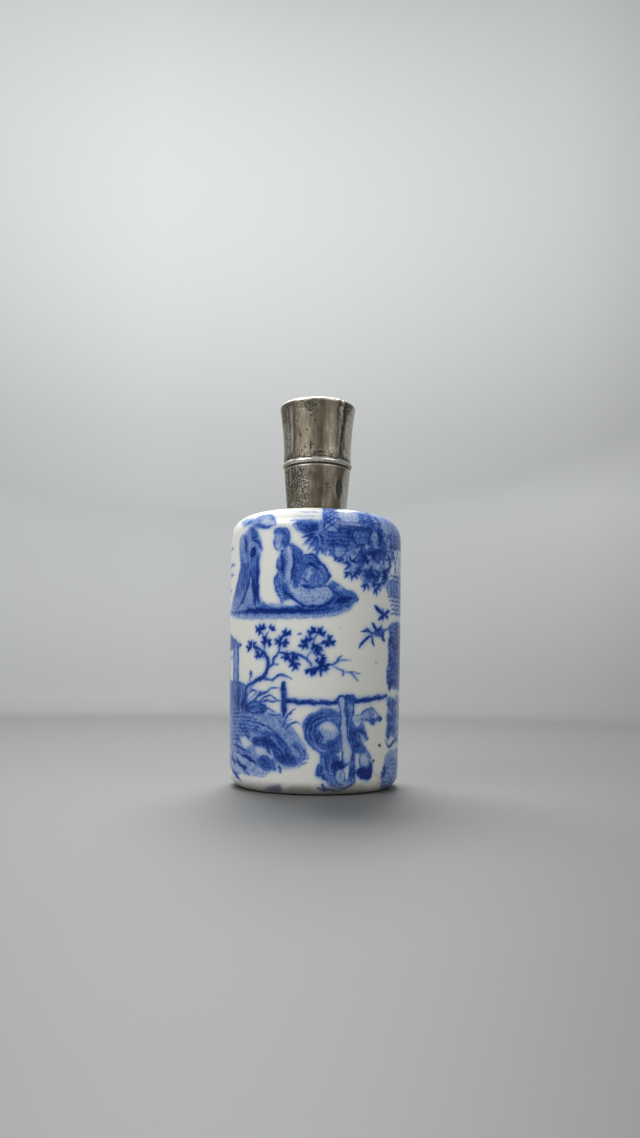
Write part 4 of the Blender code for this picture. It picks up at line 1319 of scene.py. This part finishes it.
def draw_fence(d):
    """A post and a rough rail across the lower right."""
    d.stroke([(-12.6, 14.9), (-9, 15.05), (-5.6, 15.2)], 0.24, 0.86)
    d.stroke([(-4.4, 15.3), (-2.4, 15.1), (0, 15.05), (3.6, 15)], 0.82, 0.9, (1, 0.8))
    d.stroke([(6.4, 15.3), (9, 15.45), (11.4, 15.8), (14.2, 16.05)], 0.8, 0.9, (1, 0.7))
    for i in range(7):
        d.stroke([(-3.9 + 1.1 * i, 15.45 - 0.04 * i), (-3.3 + 1.1 * i, 15.35 - 0.04 * i)], 0.14, 0.55)
    for i in range(6):
        d.stroke([(7 + 1.15 * i, 15.6 + 0.1 * i), (7.7 + 1.15 * i, 15.65 + 0.1 * i)], 0.14, 0.55)
    d.stroke([(-5.15, 18), (-5.1, 16), (-5.05, 14), (-5.1, 12.6)], 0.95, 0.92, (0.9, 0.5))
    d.stroke([(-4.9, 17.6), (-4.85, 14.4)], 0.14, 0.6)


def draw_leaning_figure(d):
    """A figure bent low under the rail, with a round gathered sleeve, a raised arm and loose cloth."""
    d.patch([(-9, 0.3), (-7.8, 1.1), (-6.5, 1.5), (-5.7, 1.4), (-5.6, 0.3), (-7.4, 0)], 0.34)
    cloth = [
        (0.9, 7.4), (2.8, 7), (4.2, 6.4), (4.9, 4.6), (5.6, 2.4), (4.6, 1.5), (3.4, 1.4), (2.3, 2.3), (1.5, 3)
    ]
    d.patch(cloth + [(0.4, 3.3), (0.4, 4.2), (1.2, 5.6)], 0.53)
    d.folds([(1.4, 6.6), (1.5, 4.8), (1, 3.6)], [(3.9, 6.2), (3.6, 4), (3.9, 1.9)], 5, 0.3, 0.93)
    d.stroke([(2.9, 6.6), (2.75, 4.9), (3.3, 3), (4.2, 1.7)], 0.42, 0.32)
    d.stroke([(0.5, 3.5), (1.2, 3.5), (1.8, 2.9), (2.4, 2.2)], 0.4, 0.92)
    d.stroke([(1.6, 6), (1.7, 4.4), (2.6, 3)], 0.24, 0.12)
    d.stroke([(3.5, 6), (3.6, 4.6), (4.4, 3.4)], 0.3, 0.92)
    d.patch([(3.8, 4.2), (4.8, 4.1), (5.4, 3.4), (5.2, 2.3), (4.4, 2), (3.8, 2.8)], 0.1, 0.16, 0.85)
    d.stroke([(0.9, 5.2), (0.6, 4.2), (0.9, 3.4)], 0.24, 0.92)
    d.stroke([(0.6, 1.3), (1.6, 0.8), (2.8, 1), (4.2, 0.6), (5.6, 0.9)], 0.4, 0.85, (0.3, 0.3))
    d.stroke([(1.4, 1.9), (1.9, 1.2), (2.8, 0.9)], 0.4, 0.9)
    d.patch([(3.9, 5.6), (4.8, 5.7), (5.4, 4.9), (4.8, 4.3), (4, 4.5)], 0.95)
    d.stroke([(5, 4.2), (4.6, 3.2), (5, 2.2), (6, 1.9)], 0.6, 0.3, (0.4, 0.4))
    d.patch([(5.7, 2.3), (6.2, 3.4), (6.3, 5), (7, 5.6), (7.4, 4.2), (7.3, 2.6), (6.6, 1.5)], 0.44)
    d.folds([(5.8, 2.2), (6.3, 3.6), (6.3, 5)], [(7, 2), (7.2, 3.6), (6.9, 5)], 3, 0.28, 0.93)
    d.stroke([(4.2, 1.3), (5.4, 1.2), (6.4, 1.5), (7.2, 2.2)], 0.4, 0.93)
    sleeve = [
        (0, 13.4), (1.4, 14.1), (3.2, 14), (4.4, 13.2), (4.5, 11), (4.5, 9), (4.2, 7.2), (3, 6.6), (1.4, 7)
    ]
    d.patch(sleeve + [(0, 7.8), (-1.1, 9), (-1.8, 10.6), (-1.7, 12), (-0.9, 13)], 0.58)
    for reach, wide, tone in (
        (3.3, 0.3, 0.93), (2.95, 0.16, 0.45), (2.65, 0.3, 0.93), (2.3, 0.18, 0.4), (2, 0.28, 0.9)
    ):
        turns = [math.radians(degrees) for degrees in (70, 110, 150, 190, 230, 262)]
        curve = [(2.2 + reach * 1.08 * math.cos(a), 10.2 + reach * math.sin(a)) for a in turns]
        d.stroke(curve, wide, tone, (0.3, 0.2))
    d.patch([(0.8, 11), (1.8, 11.9), (3.3, 11.7), (4, 10.6), (3.6, 9.4), (2.2, 9), (1, 9.4)], 0.08)
    for i in range(6):
        d.stroke(
            [(0.9 + 0.5 * i, 10.9 - 0.1 * i), (1.3 + 0.5 * i, 9.9), (1.8 + 0.42 * i, 9.2)],
            0.16, 0.6, (0.3, 0.3),
        )
    d.stroke([(0.9, 10.6), (1.1, 9.7), (1.7, 9.1)], 0.3, 0.95)
    d.stroke([(1.2, 8.9), (2, 8.6), (3, 8.9)], 0.2, 0.15)
    d.stroke([(-0.2, 8.9), (0.8, 7.8), (2, 7.2)], 0.3, 0.15)
    d.patch([(2.2, 9), (3.4, 9), (4.4, 8.4), (4.3, 7), (3, 6.7), (2.3, 7.6)], 0.7)
    d.stroke([(1.2, 13.7), (2.6, 13.3), (3.9, 12.4)], 0.3, 0.5)
    other = [
        (5.3, 15.8), (5.6, 16.3), (6.5, 16.2), (6.8, 15.6),
        (6.7, 13.5), (6.5, 12.2), (7, 11), (6.3, 10), (5.8, 12),
    ]
    d.patch(other, 0.4, 0.26, 0.9)
    d.patch([(5.4, 15.3), (5.5, 16.1), (6.2, 16.3), (6.8, 15.9), (6.7, 15.1), (6, 14.9)], 0.69)
    body = [
        (6, 12), (7, 11.2), (8, 10), (8.6, 8.6), (9.4, 7.2),
        (8.5, 6.4), (7.4, 6.9), (7.2, 5.4), (6.5, 5.2), (6.5, 7),
    ]
    d.patch(body + [(6, 9)], 0.67)
    d.stroke([(7, 10.6), (7.8, 9), (8.7, 7.4)], 0.24, 0.5)
    d.stroke([(6.9, 6.6), (6.9, 5.4), (6.6, 4.4)], 0.4, 0.55)
    d.patch(
        [(7.3, 10.8), (8, 11.5), (8.8, 11.6), (9.2, 10.4), (9.9, 9.2), (9.3, 8.7), (8.5, 9.6), (7.8, 10)],
        0.58,
    )
    d.stroke([(7.8, 10.4), (9, 10), (9.8, 9)], 0.3, 0.93)
    arm = [
        (3.8, 15.5), (4.5, 16), (5.2, 15.8), (5.2, 14), (5.6, 12),
        (5.7, 10), (6.1, 8.6), (6.8, 7.3), (6.5, 5.8),
    ]
    d.patch(arm + [(5.7, 5), (5, 5.6), (4.8, 7.4), (4.6, 9.4), (4.4, 11.4), (4.5, 13.6)], 0.1, 0.26, 0.86)
    d.stroke([(3.5, 15.5), (4.4, 16.1), (5.3, 16)], 0.3, 0.93)
    hair = [
        (7.5, 4.2), (8.4, 4.5), (9.5, 4.2), (10.1, 4.6), (10.4, 5.4),
        (10.9, 4.5), (10.8, 3.2), (10, 2.4), (9, 2.4),
    ]
    d.patch(hair + [(8.2, 2.9), (7.6, 3.4)], 0.97)
    d.stroke([(8.2, 3.5), (9.2, 3.2), (10.2, 3.6)], 0.16, 0.6)
    d.patch(
        [(8.3, 6.6), (9.2, 6.9), (10, 6.1), (10.1, 5), (9.4, 4.4), (8.5, 4.6), (8.1, 5.6)], 0.16, 0.2, 0.8
    )
    d.stroke([(9, 7.4), (10.1, 6.7), (10.6, 5.6)], 0.26, 0.85)
    d.patch(
        [(6.9, 12.4), (8.2, 13), (9.4, 13.7), (10.5, 14), (10.8, 13), (9.8, 12.2), (8.4, 11.8), (7.2, 11.8)],
        0.22,
    )
    d.stroke(
        [(6.8, 12.7), (8, 13.1), (9.3, 13.8), (10.3, 14.1), (11.2, 13.6), (12, 12.9), (13.2, 12.4)], 0.3, 0.72
    )
    d.patch([(9.6, 13.6), (10.6, 13.8), (11.1, 13), (10.3, 12.5), (9.6, 12.8)], 0.36)
    d.patch(
        [
            (10.1, 12.6), (11.2, 12.5), (12.6, 12.7), (13.3, 12.3),
            (12.4, 11.8), (11.5, 11.9), (11.2, 11.2), (10.4, 11.6),
        ],
        0.69,
    )
    d.stroke([(8.2, 11.6), (9, 12.2), (9.8, 12.1), (10.4, 11.6)], 0.3, 0.75)
    d.stroke([(8.2, 12.4), (9, 12.6)], 0.24, 0.7)


def draw_far_side(d):
    """The far side, plainer: a bank, a second tree, a strip of ground, a small house and leaves above."""
    bank = [
        (27, 12.9), (33, 13.6), (39, 12.4), (45, 13), (52, 13.6), (60, 12.6),
        (68, 13), (74, 12.6), (74.6, 4.4), (68, 3.2), (60, 2.8),
    ]
    d.patch([*bank, (50, 3.6), (40, 2.6), (30, 3.2), (27, 4)], 0.36)
    for i in range(13):
        low = 12.2 - 0.72 * i
        start = 27 + 4.6 * (i * 5 % 5)
        d.stroke(
            [(start, low), (start + 9, low + 0.5), (start + 17, low - 0.3), (start + 26, low + 0.3)],
            0.32, 0.85, (0.2, 0.1),
        )
        d.stroke(
            [(start + 3, low + 0.4), (start + 10, low + 0.8), (start + 18, low + 0.1)], 0.2, 0.12, (0.2, 0.1)
        )
    for i in range(34):
        at = spread_place(i, (27.6, 3.4), (45, 8.2))
        d.leaf(at, 20 + 140 * (i % 2) + 9 * (i % 5), 2.4, 0.44, 0.95, 0.12)
    d.stroke([(28, 15.6), (36, 15.3), (44, 15.7), (52, 15.3), (60, 15.6), (66, 15.4)], 0.7, 0.9, (0.6, 0.6))
    for across in (31, 42, 53, 64):
        d.stroke([(across, 17.8), (across + 0.1, 15), (across, 12.4)], 0.85, 0.9, (0.9, 0.5))
    d.stroke([(46, 13), (46.8, 16.2), (48.4, 18.6), (48, 21.6), (49.2, 24)], 0.66, 0.86, (1, 0.4))
    d.stroke([(48.2, 18.6), (51, 20), (53.4, 20.4), (55.6, 22)], 0.42, 0.86, (1, 0.3))
    d.stroke([(48, 20.4), (45.6, 21.8), (43.4, 22.4), (41.8, 23.8)], 0.42, 0.86, (1, 0.3))
    for i in range(44):
        angle = 2.4 * i
        reach = math.sqrt(i / 44)
        d.star(
            (48.6 + 7.6 * reach * math.cos(angle), 23.6 + 3 * reach * math.sin(angle)),
            1.2, 75.0 * i, 4, 50, 0.54, 0.92,
        )
    strip = [
        (27, 30.8), (34, 31.4), (41, 30.8), (48, 31.8), (56, 31),
        (63, 31.6), (69, 30.9), (69, 29.8), (60, 29.3),
    ]
    d.stroke([(66, 30.3), (70, 30.4), (74.4, 30.2)], 0.9, 0.8, (0.4, 0.4))
    d.patch([*strip, (50, 29.6), (40, 29.2), (30, 29.6), (27, 29.6)], 0.8)
    d.hatch(
        [(27, 29.8), (48, 29.6), (69, 29.8), (69, 28.8), (58, 28.5), (48, 28.9), (38, 28.5), (27, 28.8)],
        84, 0.5, 0.55, 0.5, 0.1,
    )
    for middle, tall in ((33, 5), (38.5, 3.6), (60.5, 4.6), (65.5, 3.4)):
        hill = [
            (middle - 2.6, 31), (middle - 1.6, 31 + 0.7 * tall),
            (middle, 31 + tall), (middle + 1.8, 31 + 0.6 * tall),
        ]
        d.patch([*hill, (middle + 2.6, 31)], 0.5, 0.22, 0.85)
        corner = (middle - 1.9, 31.2)
        spread_stars(d, 14, corner, (3.8, 0.6 * tall), 0.9, 80.0, (3,), 64, 0.4, (0.9, 0.75, 0.15))
    d.patch([(45.6, 31.4), (45.6, 36.4), (52.4, 36.4), (52.4, 31.4)], 0.3, 0.24, 0.85)
    d.patch([(44, 36.2), (46.8, 38.6), (49, 39.4), (51.2, 38.6), (54, 36.2)], 0.66, 0.26, 0.9)
    d.patch([(48, 31.5), (48, 34.6), (49, 35.2), (50, 34.6), (50, 31.5)], 0.8)
    for across in (46.6, 51.4):
        d.stroke([(across, 31.6), (across, 36)], 0.3, 0.85, (1, 1))
    for i in range(70):
        at = (69.4 + 2.5 * math.sin(2.4 * i) * (1.2 - i / 90), 30.6 + 0.19 * i)
        d.star(at, 1.3, 77.0 * i, 4, 56, 0.44, (0.9, 0.7, 0.84, 0.3)[i % 4])
    d.stroke([(69.6, 30.4), (69.2, 35), (69.8, 40), (69.4, 43)], 0.5, 0.9)
    canopy = [
        (27, 41.2), (33, 40.4), (40, 42.4), (48, 43), (56, 41.8), (63, 42.8), (69, 42), (69, 46.4), (58, 46.8)
    ]
    d.patch([*canopy, (48, 46.4), (38, 46.8), (27, 46.4)], 0.42)
    spread_stars(d, 110, (27.4, 41), (41, 5.6), 1.15, 77.0, (4,), 56, 0.44, (0.95, 0.74, 0.86, 0.15))


def draw_print(d):
    """The whole print, from what lies behind to what lies in front."""
    draw_far_side(d)
    draw_pavilion(d)
    draw_terrace(d)
    draw_bank(d)
    draw_grasses(d)
    draw_tree(d)
    draw_fence(d)
    draw_leaning_figure(d)
    draw_garden_house(d)
    draw_dense_foliage(d)
    draw_hanging_leaves(d)
    draw_ground(d)
    draw_standing_pair(d)
    draw_kneeling_figure(d)


def draw_stains_and_shade(d):
    """Faint stains near the foot, a painted shadow of the base along the front of the foot, a darker band
    round the underside of the foot, and darker porcelain where the silver meets it.
    """
    d.patch([(-4.8, 0.2), (-3.5, 1.5), (-1.5, 1.7), (0.2, 1), (0.2, 0), (-2.4, -0.3)], 0.42)
    d.patch([(-9.4, 0.2), (-8, 1.2), (-6.6, 1.7), (-5.5, 1.5), (-5.4, 0.3), (-7.5, -0.3)], 0.5)
    # Painted shadow of the base along the front of the foot, streaked like dirt.
    d.patch([(0.6, 0.2), (2, 1.5), (4.6, 1.2), (7.6, 1.9), (10, 1), (9, -0.2), (4, -0.6)], 0.3)
    for i in range(9):
        d.stroke([(2.6 + 0.8 * i, 1.5), (2.9 + 0.85 * i, 0.8), (3.4 + 0.9 * i, 0)], 0.2, 0.55)
    d.blob((12.5, 1.5), (1.2, 0.8), 0.4)
    d.stroke([(11.6, 3.2), (13, 2.4), (13.6, 1.2)], 0.7, 0.4)
    # A darker band all round the underside of the foot.
    d.stroke([(-48, -1.2), (0, -1.2), (48, -1.2)], 0.8, 0.35, (1, 1))
    # Darker porcelain near where the silver collar meets it.
    silver_line = 56.4
    from_silver = np.abs(d.up - silver_line)
    d.tones = np.maximum(d.tones, np.clip(1.2 - from_silver / 1.4, 0, 0.75))


def draw_pinholes(d):
    """Two black pinholes and three faint specks in the glaze."""
    d.dots([(12.6, 7.9), (11.1, 5.35)], 0.62, 1)
    d.dots([(4.3, 27.1), (11.5, 21.6), (11.2, 21.7)], 0.3, 0.5)


class Tone:
    """A number from a shader node that takes part in sums, and adds the Math nodes for them."""

    def __init__(self, finish, socket):
        self.finish = finish
        self.socket = socket

    def math(self, operation, *others):
        sockets = dict(enumerate([self, *others]))
        return self.finish.number("ShaderNodeMath", {"operation": operation}, sockets)

    def __add__(self, other):
        return self.math("ADD", other)

    def __sub__(self, other):
        return self.math("SUBTRACT", other)

    def __mul__(self, other):
        return self.math("MULTIPLY", other)

    def __truediv__(self, other):
        return self.math("DIVIDE", other)

    def __rsub__(self, other):
        return self.finish.number("ShaderNodeMath", {"operation": "SUBTRACT"}, {0: other, 1: self})

    __radd__ = __add__
    __rmul__ = __mul__

    def held(self, low=0.0, high=1.0):
        """The same number, held between two limits."""
        return self.math("MAXIMUM", low).math("MINIMUM", high)

    def above(self, start, end):
        """0 below start, 1 above end, and an even slope between them. End may be the lower one."""
        return ((self - start) / (end - start)).held()


# The sockets of a Mix node that take and give colours.
MIX_FIRST = 6
MIX_SECOND = 7
MIX_RESULT = 2


class Finish:
    """One material, and the nodes that are added to it."""

    def __init__(self, name):
        self.material = bpy.data.materials.new(name)
        self.material.use_nodes = True
        self.tree = self.material.node_tree
        self.shader = self.tree.nodes["Principled BSDF"]
        self.place = self.node("ShaderNodeTexCoord").outputs["Object"]

    def node(self, kind, settings=None, sockets=None):
        """Adds a node: its settings first, then the values or links of its sockets."""
        node = self.tree.nodes.new(kind)
        for key, value in (settings or {}).items():
            if key == "stops":
                self.set_stops(node.color_ramp, value)
            else:
                setattr(node, key, value)
        for key, value in (sockets or {}).items():
            self.feed(node.inputs[key], value)
        return node

    def set_stops(self, ramp, stops):
        while len(ramp.elements) < len(stops):
            ramp.elements.new(1)
        for element, (position, colour) in zip(ramp.elements, stops):
            element.position = position
            element.color = (*colour, 1)

    def feed(self, socket, value):
        if isinstance(value, Tone):
            value = value.socket
        if isinstance(value, bpy.types.NodeSocket):
            self.tree.links.new(value, socket)
        else:
            socket.default_value = value

    def number(self, kind, settings=None, sockets=None, output=0):
        return Tone(self, self.node(kind, settings, sockets).outputs[output])

    def attribute(self, name):
        return self.number("ShaderNodeAttribute", {"attribute_name": name}, output="Fac")

    def parts(self, vector):
        """The three numbers of a vector."""
        node = self.node("ShaderNodeSeparateXYZ", None, {0: vector})
        return [Tone(self, output) for output in node.outputs]

    def noise(self, size, detail=2.0, stretch=(1, 1, 1)):
        """Soft noise with features of about that size in metres, longer where stretch is more than 1."""
        scale = [1 / (size * share) for share in stretch]
        place = self.node("ShaderNodeVectorMath", {"operation": "MULTIPLY"}, {0: self.place, 1: scale})
        sockets = {"Vector": place.outputs[0], "Scale": 1, "Detail": detail}
        return self.number("ShaderNodeTexNoise", None, sockets)

    def pits(self, size, share):
        """1 inside small round pits. Share is how much of each cell of that size a pit fills."""
        sockets = {"Vector": self.place, "Scale": 1 / size}
        return self.number("ShaderNodeTexVoronoi", None, sockets).above(share, share * 0.6)

    def mix(self, factor, first, second):
        """A colour between two others."""
        sockets = {"Factor": factor, MIX_FIRST: self.colour(first), MIX_SECOND: self.colour(second)}
        return self.node("ShaderNodeMix", {"data_type": "RGBA"}, sockets).outputs[MIX_RESULT]

    def colour(self, value):
        """A link as it is, or the three numbers of a colour with full alpha."""
        return value if isinstance(value, bpy.types.NodeSocket) else (*value, 1)

    def ramp(self, factor, stops):
        return self.node("ShaderNodeValToRGB", {"stops": stops}, {0: factor}).outputs[0]

    def bump(self, height, distance):
        sockets = {"Height": height, "Distance": distance, "Strength": 1.0}
        self.feed(self.shader.inputs["Normal"], self.node("ShaderNodeBump", None, sockets).outputs[0])

    def put_on(self, piece):
        piece.data.materials.clear()
        piece.data.materials.append(self.material)


def porcelain_finish(colours):
    """White glaze over a transfer print: streaky ink with a soft halo, pinholes, stains, a painted shadow at
    the foot, and darker bands at the foot and under the collar.
    """
    finish = Finish("printed_porcelain")
    ink = finish.attribute("ink")
    halo = finish.attribute("halo")
    patches = finish.noise(1.5 * MM, 2)
    grain = finish.noise(0.15 * MM, 2)
    upright = finish.noise(0.2 * MM, 3, (1, 1, 2.2))
    level = finish.noise(0.2 * MM, 3, (2.2, 2.2, 1))
    way = finish.noise(3 * MM, 1).above(0.46, 0.54)
    streaks = upright * way + level * (1 - way)
    middling = ((ink - 0.1).held() * (1.05 - ink) * 4.6).held()
    texture = (streaks - 0.5) * 0.95 + (grain - 0.5) * 0.4 + (patches - 0.5) * 0.6
    tone = ink + (halo - ink * 0.7).held() * 0.5 + middling * texture
    stops = [(0.02, colours.glaze), (0.23, colours.pale_wash), (0.56, colours.wash)]
    stops += [(0.8, colours.cobalt), (0.97, colours.deep_cobalt)]
    printed = finish.ramp(tone.held(), stops)
    grime = finish.attribute("grime")
    stained_and_shaded = finish.mix((grime * (0.7 + grain * 0.6)).held(), printed, colours.grime)
    colour = finish.mix(finish.attribute("pinholes").held(), stained_and_shaded, colours.stain)
    finish.feed(finish.shader.inputs["Base Color"], colour)
    finish.feed(finish.shader.inputs["Roughness"], GLAZE_ROUGHNESS + patches * 0.06 + grime * 0.3)
    finish.bump(finish.noise(2.2 * MM, 2) + finish.attribute("pinholes") * -0.6, 0.05 * MM)
    finish.shader.inputs["IOR"].default_value = GLAZE_IOR
    return finish


def silver_finish(colours, name):
    """Worn silver sheet: streaky brown-grey tarnish, black pits and creases, bright edges from rubbing with
    painted highlights and reflections, and painted shade in dark bands.
    """
    finish = Finish(name)
    marks = finish.attribute("marks")
    rubbed = finish.attribute("rubbed")
    pitted = finish.attribute("pitted")
    streaks = finish.noise(0.45 * MM, 3, (1, 1, 6))
    cloud = finish.noise(1.6 * MM, 3, (1, 1, 1.5))
    grain = finish.noise(0.14 * MM, 2)
    net = finish.noise(0.36 * MM, 3)
    corroded = net.above(0.46, 0.4) * pitted
    flecks = net.above(0.56, 0.64) * pitted * 0.45
    spots = finish.pits(0.5 * MM, 0.22) * (pitted + cloud.above(0.5, 0.6)).held()
    # Painted shade darkens the tarnish of the walls wherever that layer is drawn.
    shade = 0.5 + (streaks - 0.5) * 0.9 + (cloud - 0.5) * 0.8 - finish.attribute("dulled") * 0.5
    stops = [(0, colours.dark_tarnish), (0.5, colours.tarnish), (1, colours.pale_tarnish)]
    walls = finish.ramp(shade.held(), stops)
    # Bright rubbing marks together with painted highlights and reflections turn the walls towards bright
    # silver, with pale flecks where pitted.
    rub_and_highlight_share = (rubbed * (0.8 + (grain - 0.5) * 0.8 + (streaks - 0.5) * 0.8) + flecks).held()
    bright = finish.mix(rub_and_highlight_share, walls, colours.silver)
    black = (marks * (1.15 + grain * 0.4) + corroded * 0.8 + spots * 0.8).held()
    finish.feed(finish.shader.inputs["Base Color"], finish.mix(black, bright, colours.stain))
    rough = SILVER_ROUGHNESS + cloud.above(0.4, 0.7) * 0.06 + (grain - 0.5) * 0.1
    rough = rough - rubbed * 0.14 + black * 0.15
    finish.feed(finish.shader.inputs["Roughness"], rough.held(0.1, 0.85))
    finish.feed(finish.shader.inputs["Metallic"], 1 - (black * 0.95 + rub_and_highlight_share * 0.35).held())
    finish.bump(streaks * 0.4 + grain * 0.15 - black * 0.25 + cloud * 0.2, 0.035 * MM)
    return finish


def stage_finish():
    """A plain floor, and a backdrop with painted light and shade in its colour: brighter upwards, dimmer to
    the right and behind the camera.
    """
    finish = Finish("pale_floor")
    x, y, z = finish.parts(finish.place)
    turn = x.math("ARCTAN2", y) / math.tau + 0.5
    around = finish.parts(finish.ramp(turn, [(place, (shade,) * 3) for place, shade in BACKDROP_SHADES]))[0]
    # Painted light: the backdrop's colour brightens upwards; painted shade: it darkens by its place round the
    # bottle.
    bright = (0.7 + 0.3 * z.above(COVE_RADIUS * 0.5, BRIGHT_HEIGHT)) * around
    wall = finish.mix(bright, DIM_TONE, BACKDROP_TONE)
    reach = (x * x + y * y).math("SQRT")
    rise = reach.above(FLOOR_REACH * 0.6, FLOOR_REACH * 1.1) * 0.25 + z.above(0, COVE_RADIUS * 0.7) * 0.75
    finish.feed(finish.shader.inputs["Base Color"], finish.mix(rise.held(), FLOOR_TONE, wall))
    finish.shader.inputs["Roughness"].default_value = FLOOR_ROUGHNESS
    return finish


class BuildBottle(bpy.types.Operator):
    """Turn the porcelain body with its neck and hollow, and print the garden scene on it"""

    bl_idname = "perfume_bottle.porcelain"
    bl_label = "Porcelain Bottle"
    bl_options = {"REGISTER", "UNDO"}

    def execute(self, context):
        sizes = context.scene.bottle_sizes
        body = turned_piece("printed_porcelain_bottle", bottle_profile(sizes), BODY_SECTORS)
        angle, radius, height = round_and_up(vertex_places(body))
        across, up = unsteady(angle * PRINT_RADIUS, height_on_print(sizes, radius, height))
        ink = Drawing(across, up, math.tau * PRINT_RADIUS, PRINT_EDGE)
        draw_print(ink)
        # Painted sheen: the ink is made paler up the shoulder, where the light from above falls.
        ink.tones *= 1 - SHOULDER_PAINTED_SHEEN * np.clip((up - SHOULDER_LINE) / SHOULDER_PAINTED_SHEEN_HEIGHT, 0, 1)
        keep_tones(body, "ink", ink.tones)
        keep_tones(body, "halo", spread_tones(body, ink.tones, HALO_ROUNDS))
        grime = Drawing(across, up, math.tau * PRINT_RADIUS, STAIN_AND_SHADE_EDGE)
        draw_stains_and_shade(grime)
        keep_tones(body, "grime", grime.tones)
        pinholes = Drawing(across, up, math.tau * PRINT_RADIUS, PRINT_EDGE)
        draw_pinholes(pinholes)
        keep_tones(body, "pinholes", pinholes.tones)
        porcelain_finish(context.scene.bottle_colours).put_on(body)
        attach(body, "root")
        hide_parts("porcelain_bottle")
        return {"FINISHED"}


class BuildCollar(bpy.types.Operator):
    """Turn the silver collar, and give it its dents, pits and tarnish, with painted highlights, reflections
    and shade
    """

    bl_idname = "perfume_bottle.collar"
    bl_label = "Silver Collar"
    bl_options = {"REGISTER", "UNDO"}

    def execute(self, context):
        sizes = context.scene.silver_sizes
        collar = turned_piece("worn_silver_collar", collar_profile(sizes), SILVER_SECTORS)
        mark_silver(collar, sizes, COLLAR_MARKINGS)
        silver_finish(context.scene.bottle_colours, "collar_silver").put_on(collar)
        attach(collar, "root")
        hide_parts("silver_collar")
        return {"FINISHED"}


class BuildCap(bpy.types.Operator):
    """Turn the flared silver cap with its bead, and give it its dents, scratches and tarnish, with painted
    highlights, reflections and shade
    """

    bl_idname = "perfume_bottle.cap"
    bl_label = "Silver Cap"
    bl_options = {"REGISTER", "UNDO"}

    def execute(self, context):
        sizes = context.scene.silver_sizes
        cap = turned_piece("worn_silver_cap", cap_profile(sizes), SILVER_SECTORS)
        mark_silver(cap, sizes, CAP_MARKINGS)
        silver_finish(context.scene.bottle_colours, "cap_silver").put_on(cap)
        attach(cap, "root")
        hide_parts("silver_cap")
        return {"FINISHED"}


class BuildStage(bpy.types.Operator):
    """Make the pale floor with its curved backdrop, the soft lights and the camera"""

    bl_idname = "perfume_bottle.stage"
    bl_label = "Floor, Lights and Camera"
    bl_options = {"REGISTER", "UNDO"}

    def execute(self, context):
        floor = turned_piece("pale_floor", stage_profile(), [(360, STAGE_COLUMNS)])
        bpy.ops.object.mode_set(mode="EDIT")
        bpy.ops.mesh.select_all(action="SELECT")
        bpy.ops.mesh.normals_make_consistent(inside=True)
        bpy.ops.object.mode_set(mode="OBJECT")
        stage_finish().put_on(floor)
        for name, place, target, size, power, tint in LIGHTS:
            soft_light(name, place, target, size, power, tint)
        sky = bpy.data.worlds.new("soft_room")
        sky.use_nodes = True
        sky.node_tree.nodes["Background"].inputs["Color"].default_value = (*ROOM_TONE, 1)
        sky.node_tree.nodes["Background"].inputs["Strength"].default_value = ROOM_LIGHT
        context.scene.world = sky
        context.scene.view_settings.view_transform = "Standard"
        place_camera()
        return {"FINISHED"}


class PerfumeBottlePanel(bpy.types.Panel):
    """The sizes and colours, and a button for each piece"""

    bl_idname = "VIEW3D_PT_perfume_bottle"
    bl_label = "Perfume Bottle"
    bl_space_type = "VIEW_3D"
    bl_region_type = "UI"
    bl_category = "Perfume Bottle"

    def draw(self, context):
        layout = self.layout
        for group in (context.scene.bottle_sizes, context.scene.silver_sizes, context.scene.bottle_colours):
            box = layout.box()
            for name in group.__annotations__:
                box.prop(group, name)
        for operator in OPERATORS:
            layout.operator(operator.bl_idname)


GROUPS = {"bottle_sizes": BottleSizes, "silver_sizes": SilverSizes, "bottle_colours": BottleColours}
OPERATORS = (BuildBottle, BuildCollar, BuildCap, BuildStage)


def register():
    for name, group in GROUPS.items():
        bpy.utils.register_class(group)
        setattr(bpy.types.Scene, name, bpy.props.PointerProperty(type=group))
    for kind in (*OPERATORS, PerfumeBottlePanel):
        bpy.utils.register_class(kind)


def unregister():
    for kind in (PerfumeBottlePanel, *reversed(OPERATORS)):
        bpy.utils.unregister_class(kind)
    for name, group in GROUPS.items():
        delattr(bpy.types.Scene, name)
        bpy.utils.unregister_class(group)


def main():
    register()
    bpy.ops.perfume_bottle.porcelain()
    bpy.ops.perfume_bottle.collar()
    bpy.ops.perfume_bottle.cap()
    bpy.ops.perfume_bottle.stage()


if __name__ == "__main__":
    main()
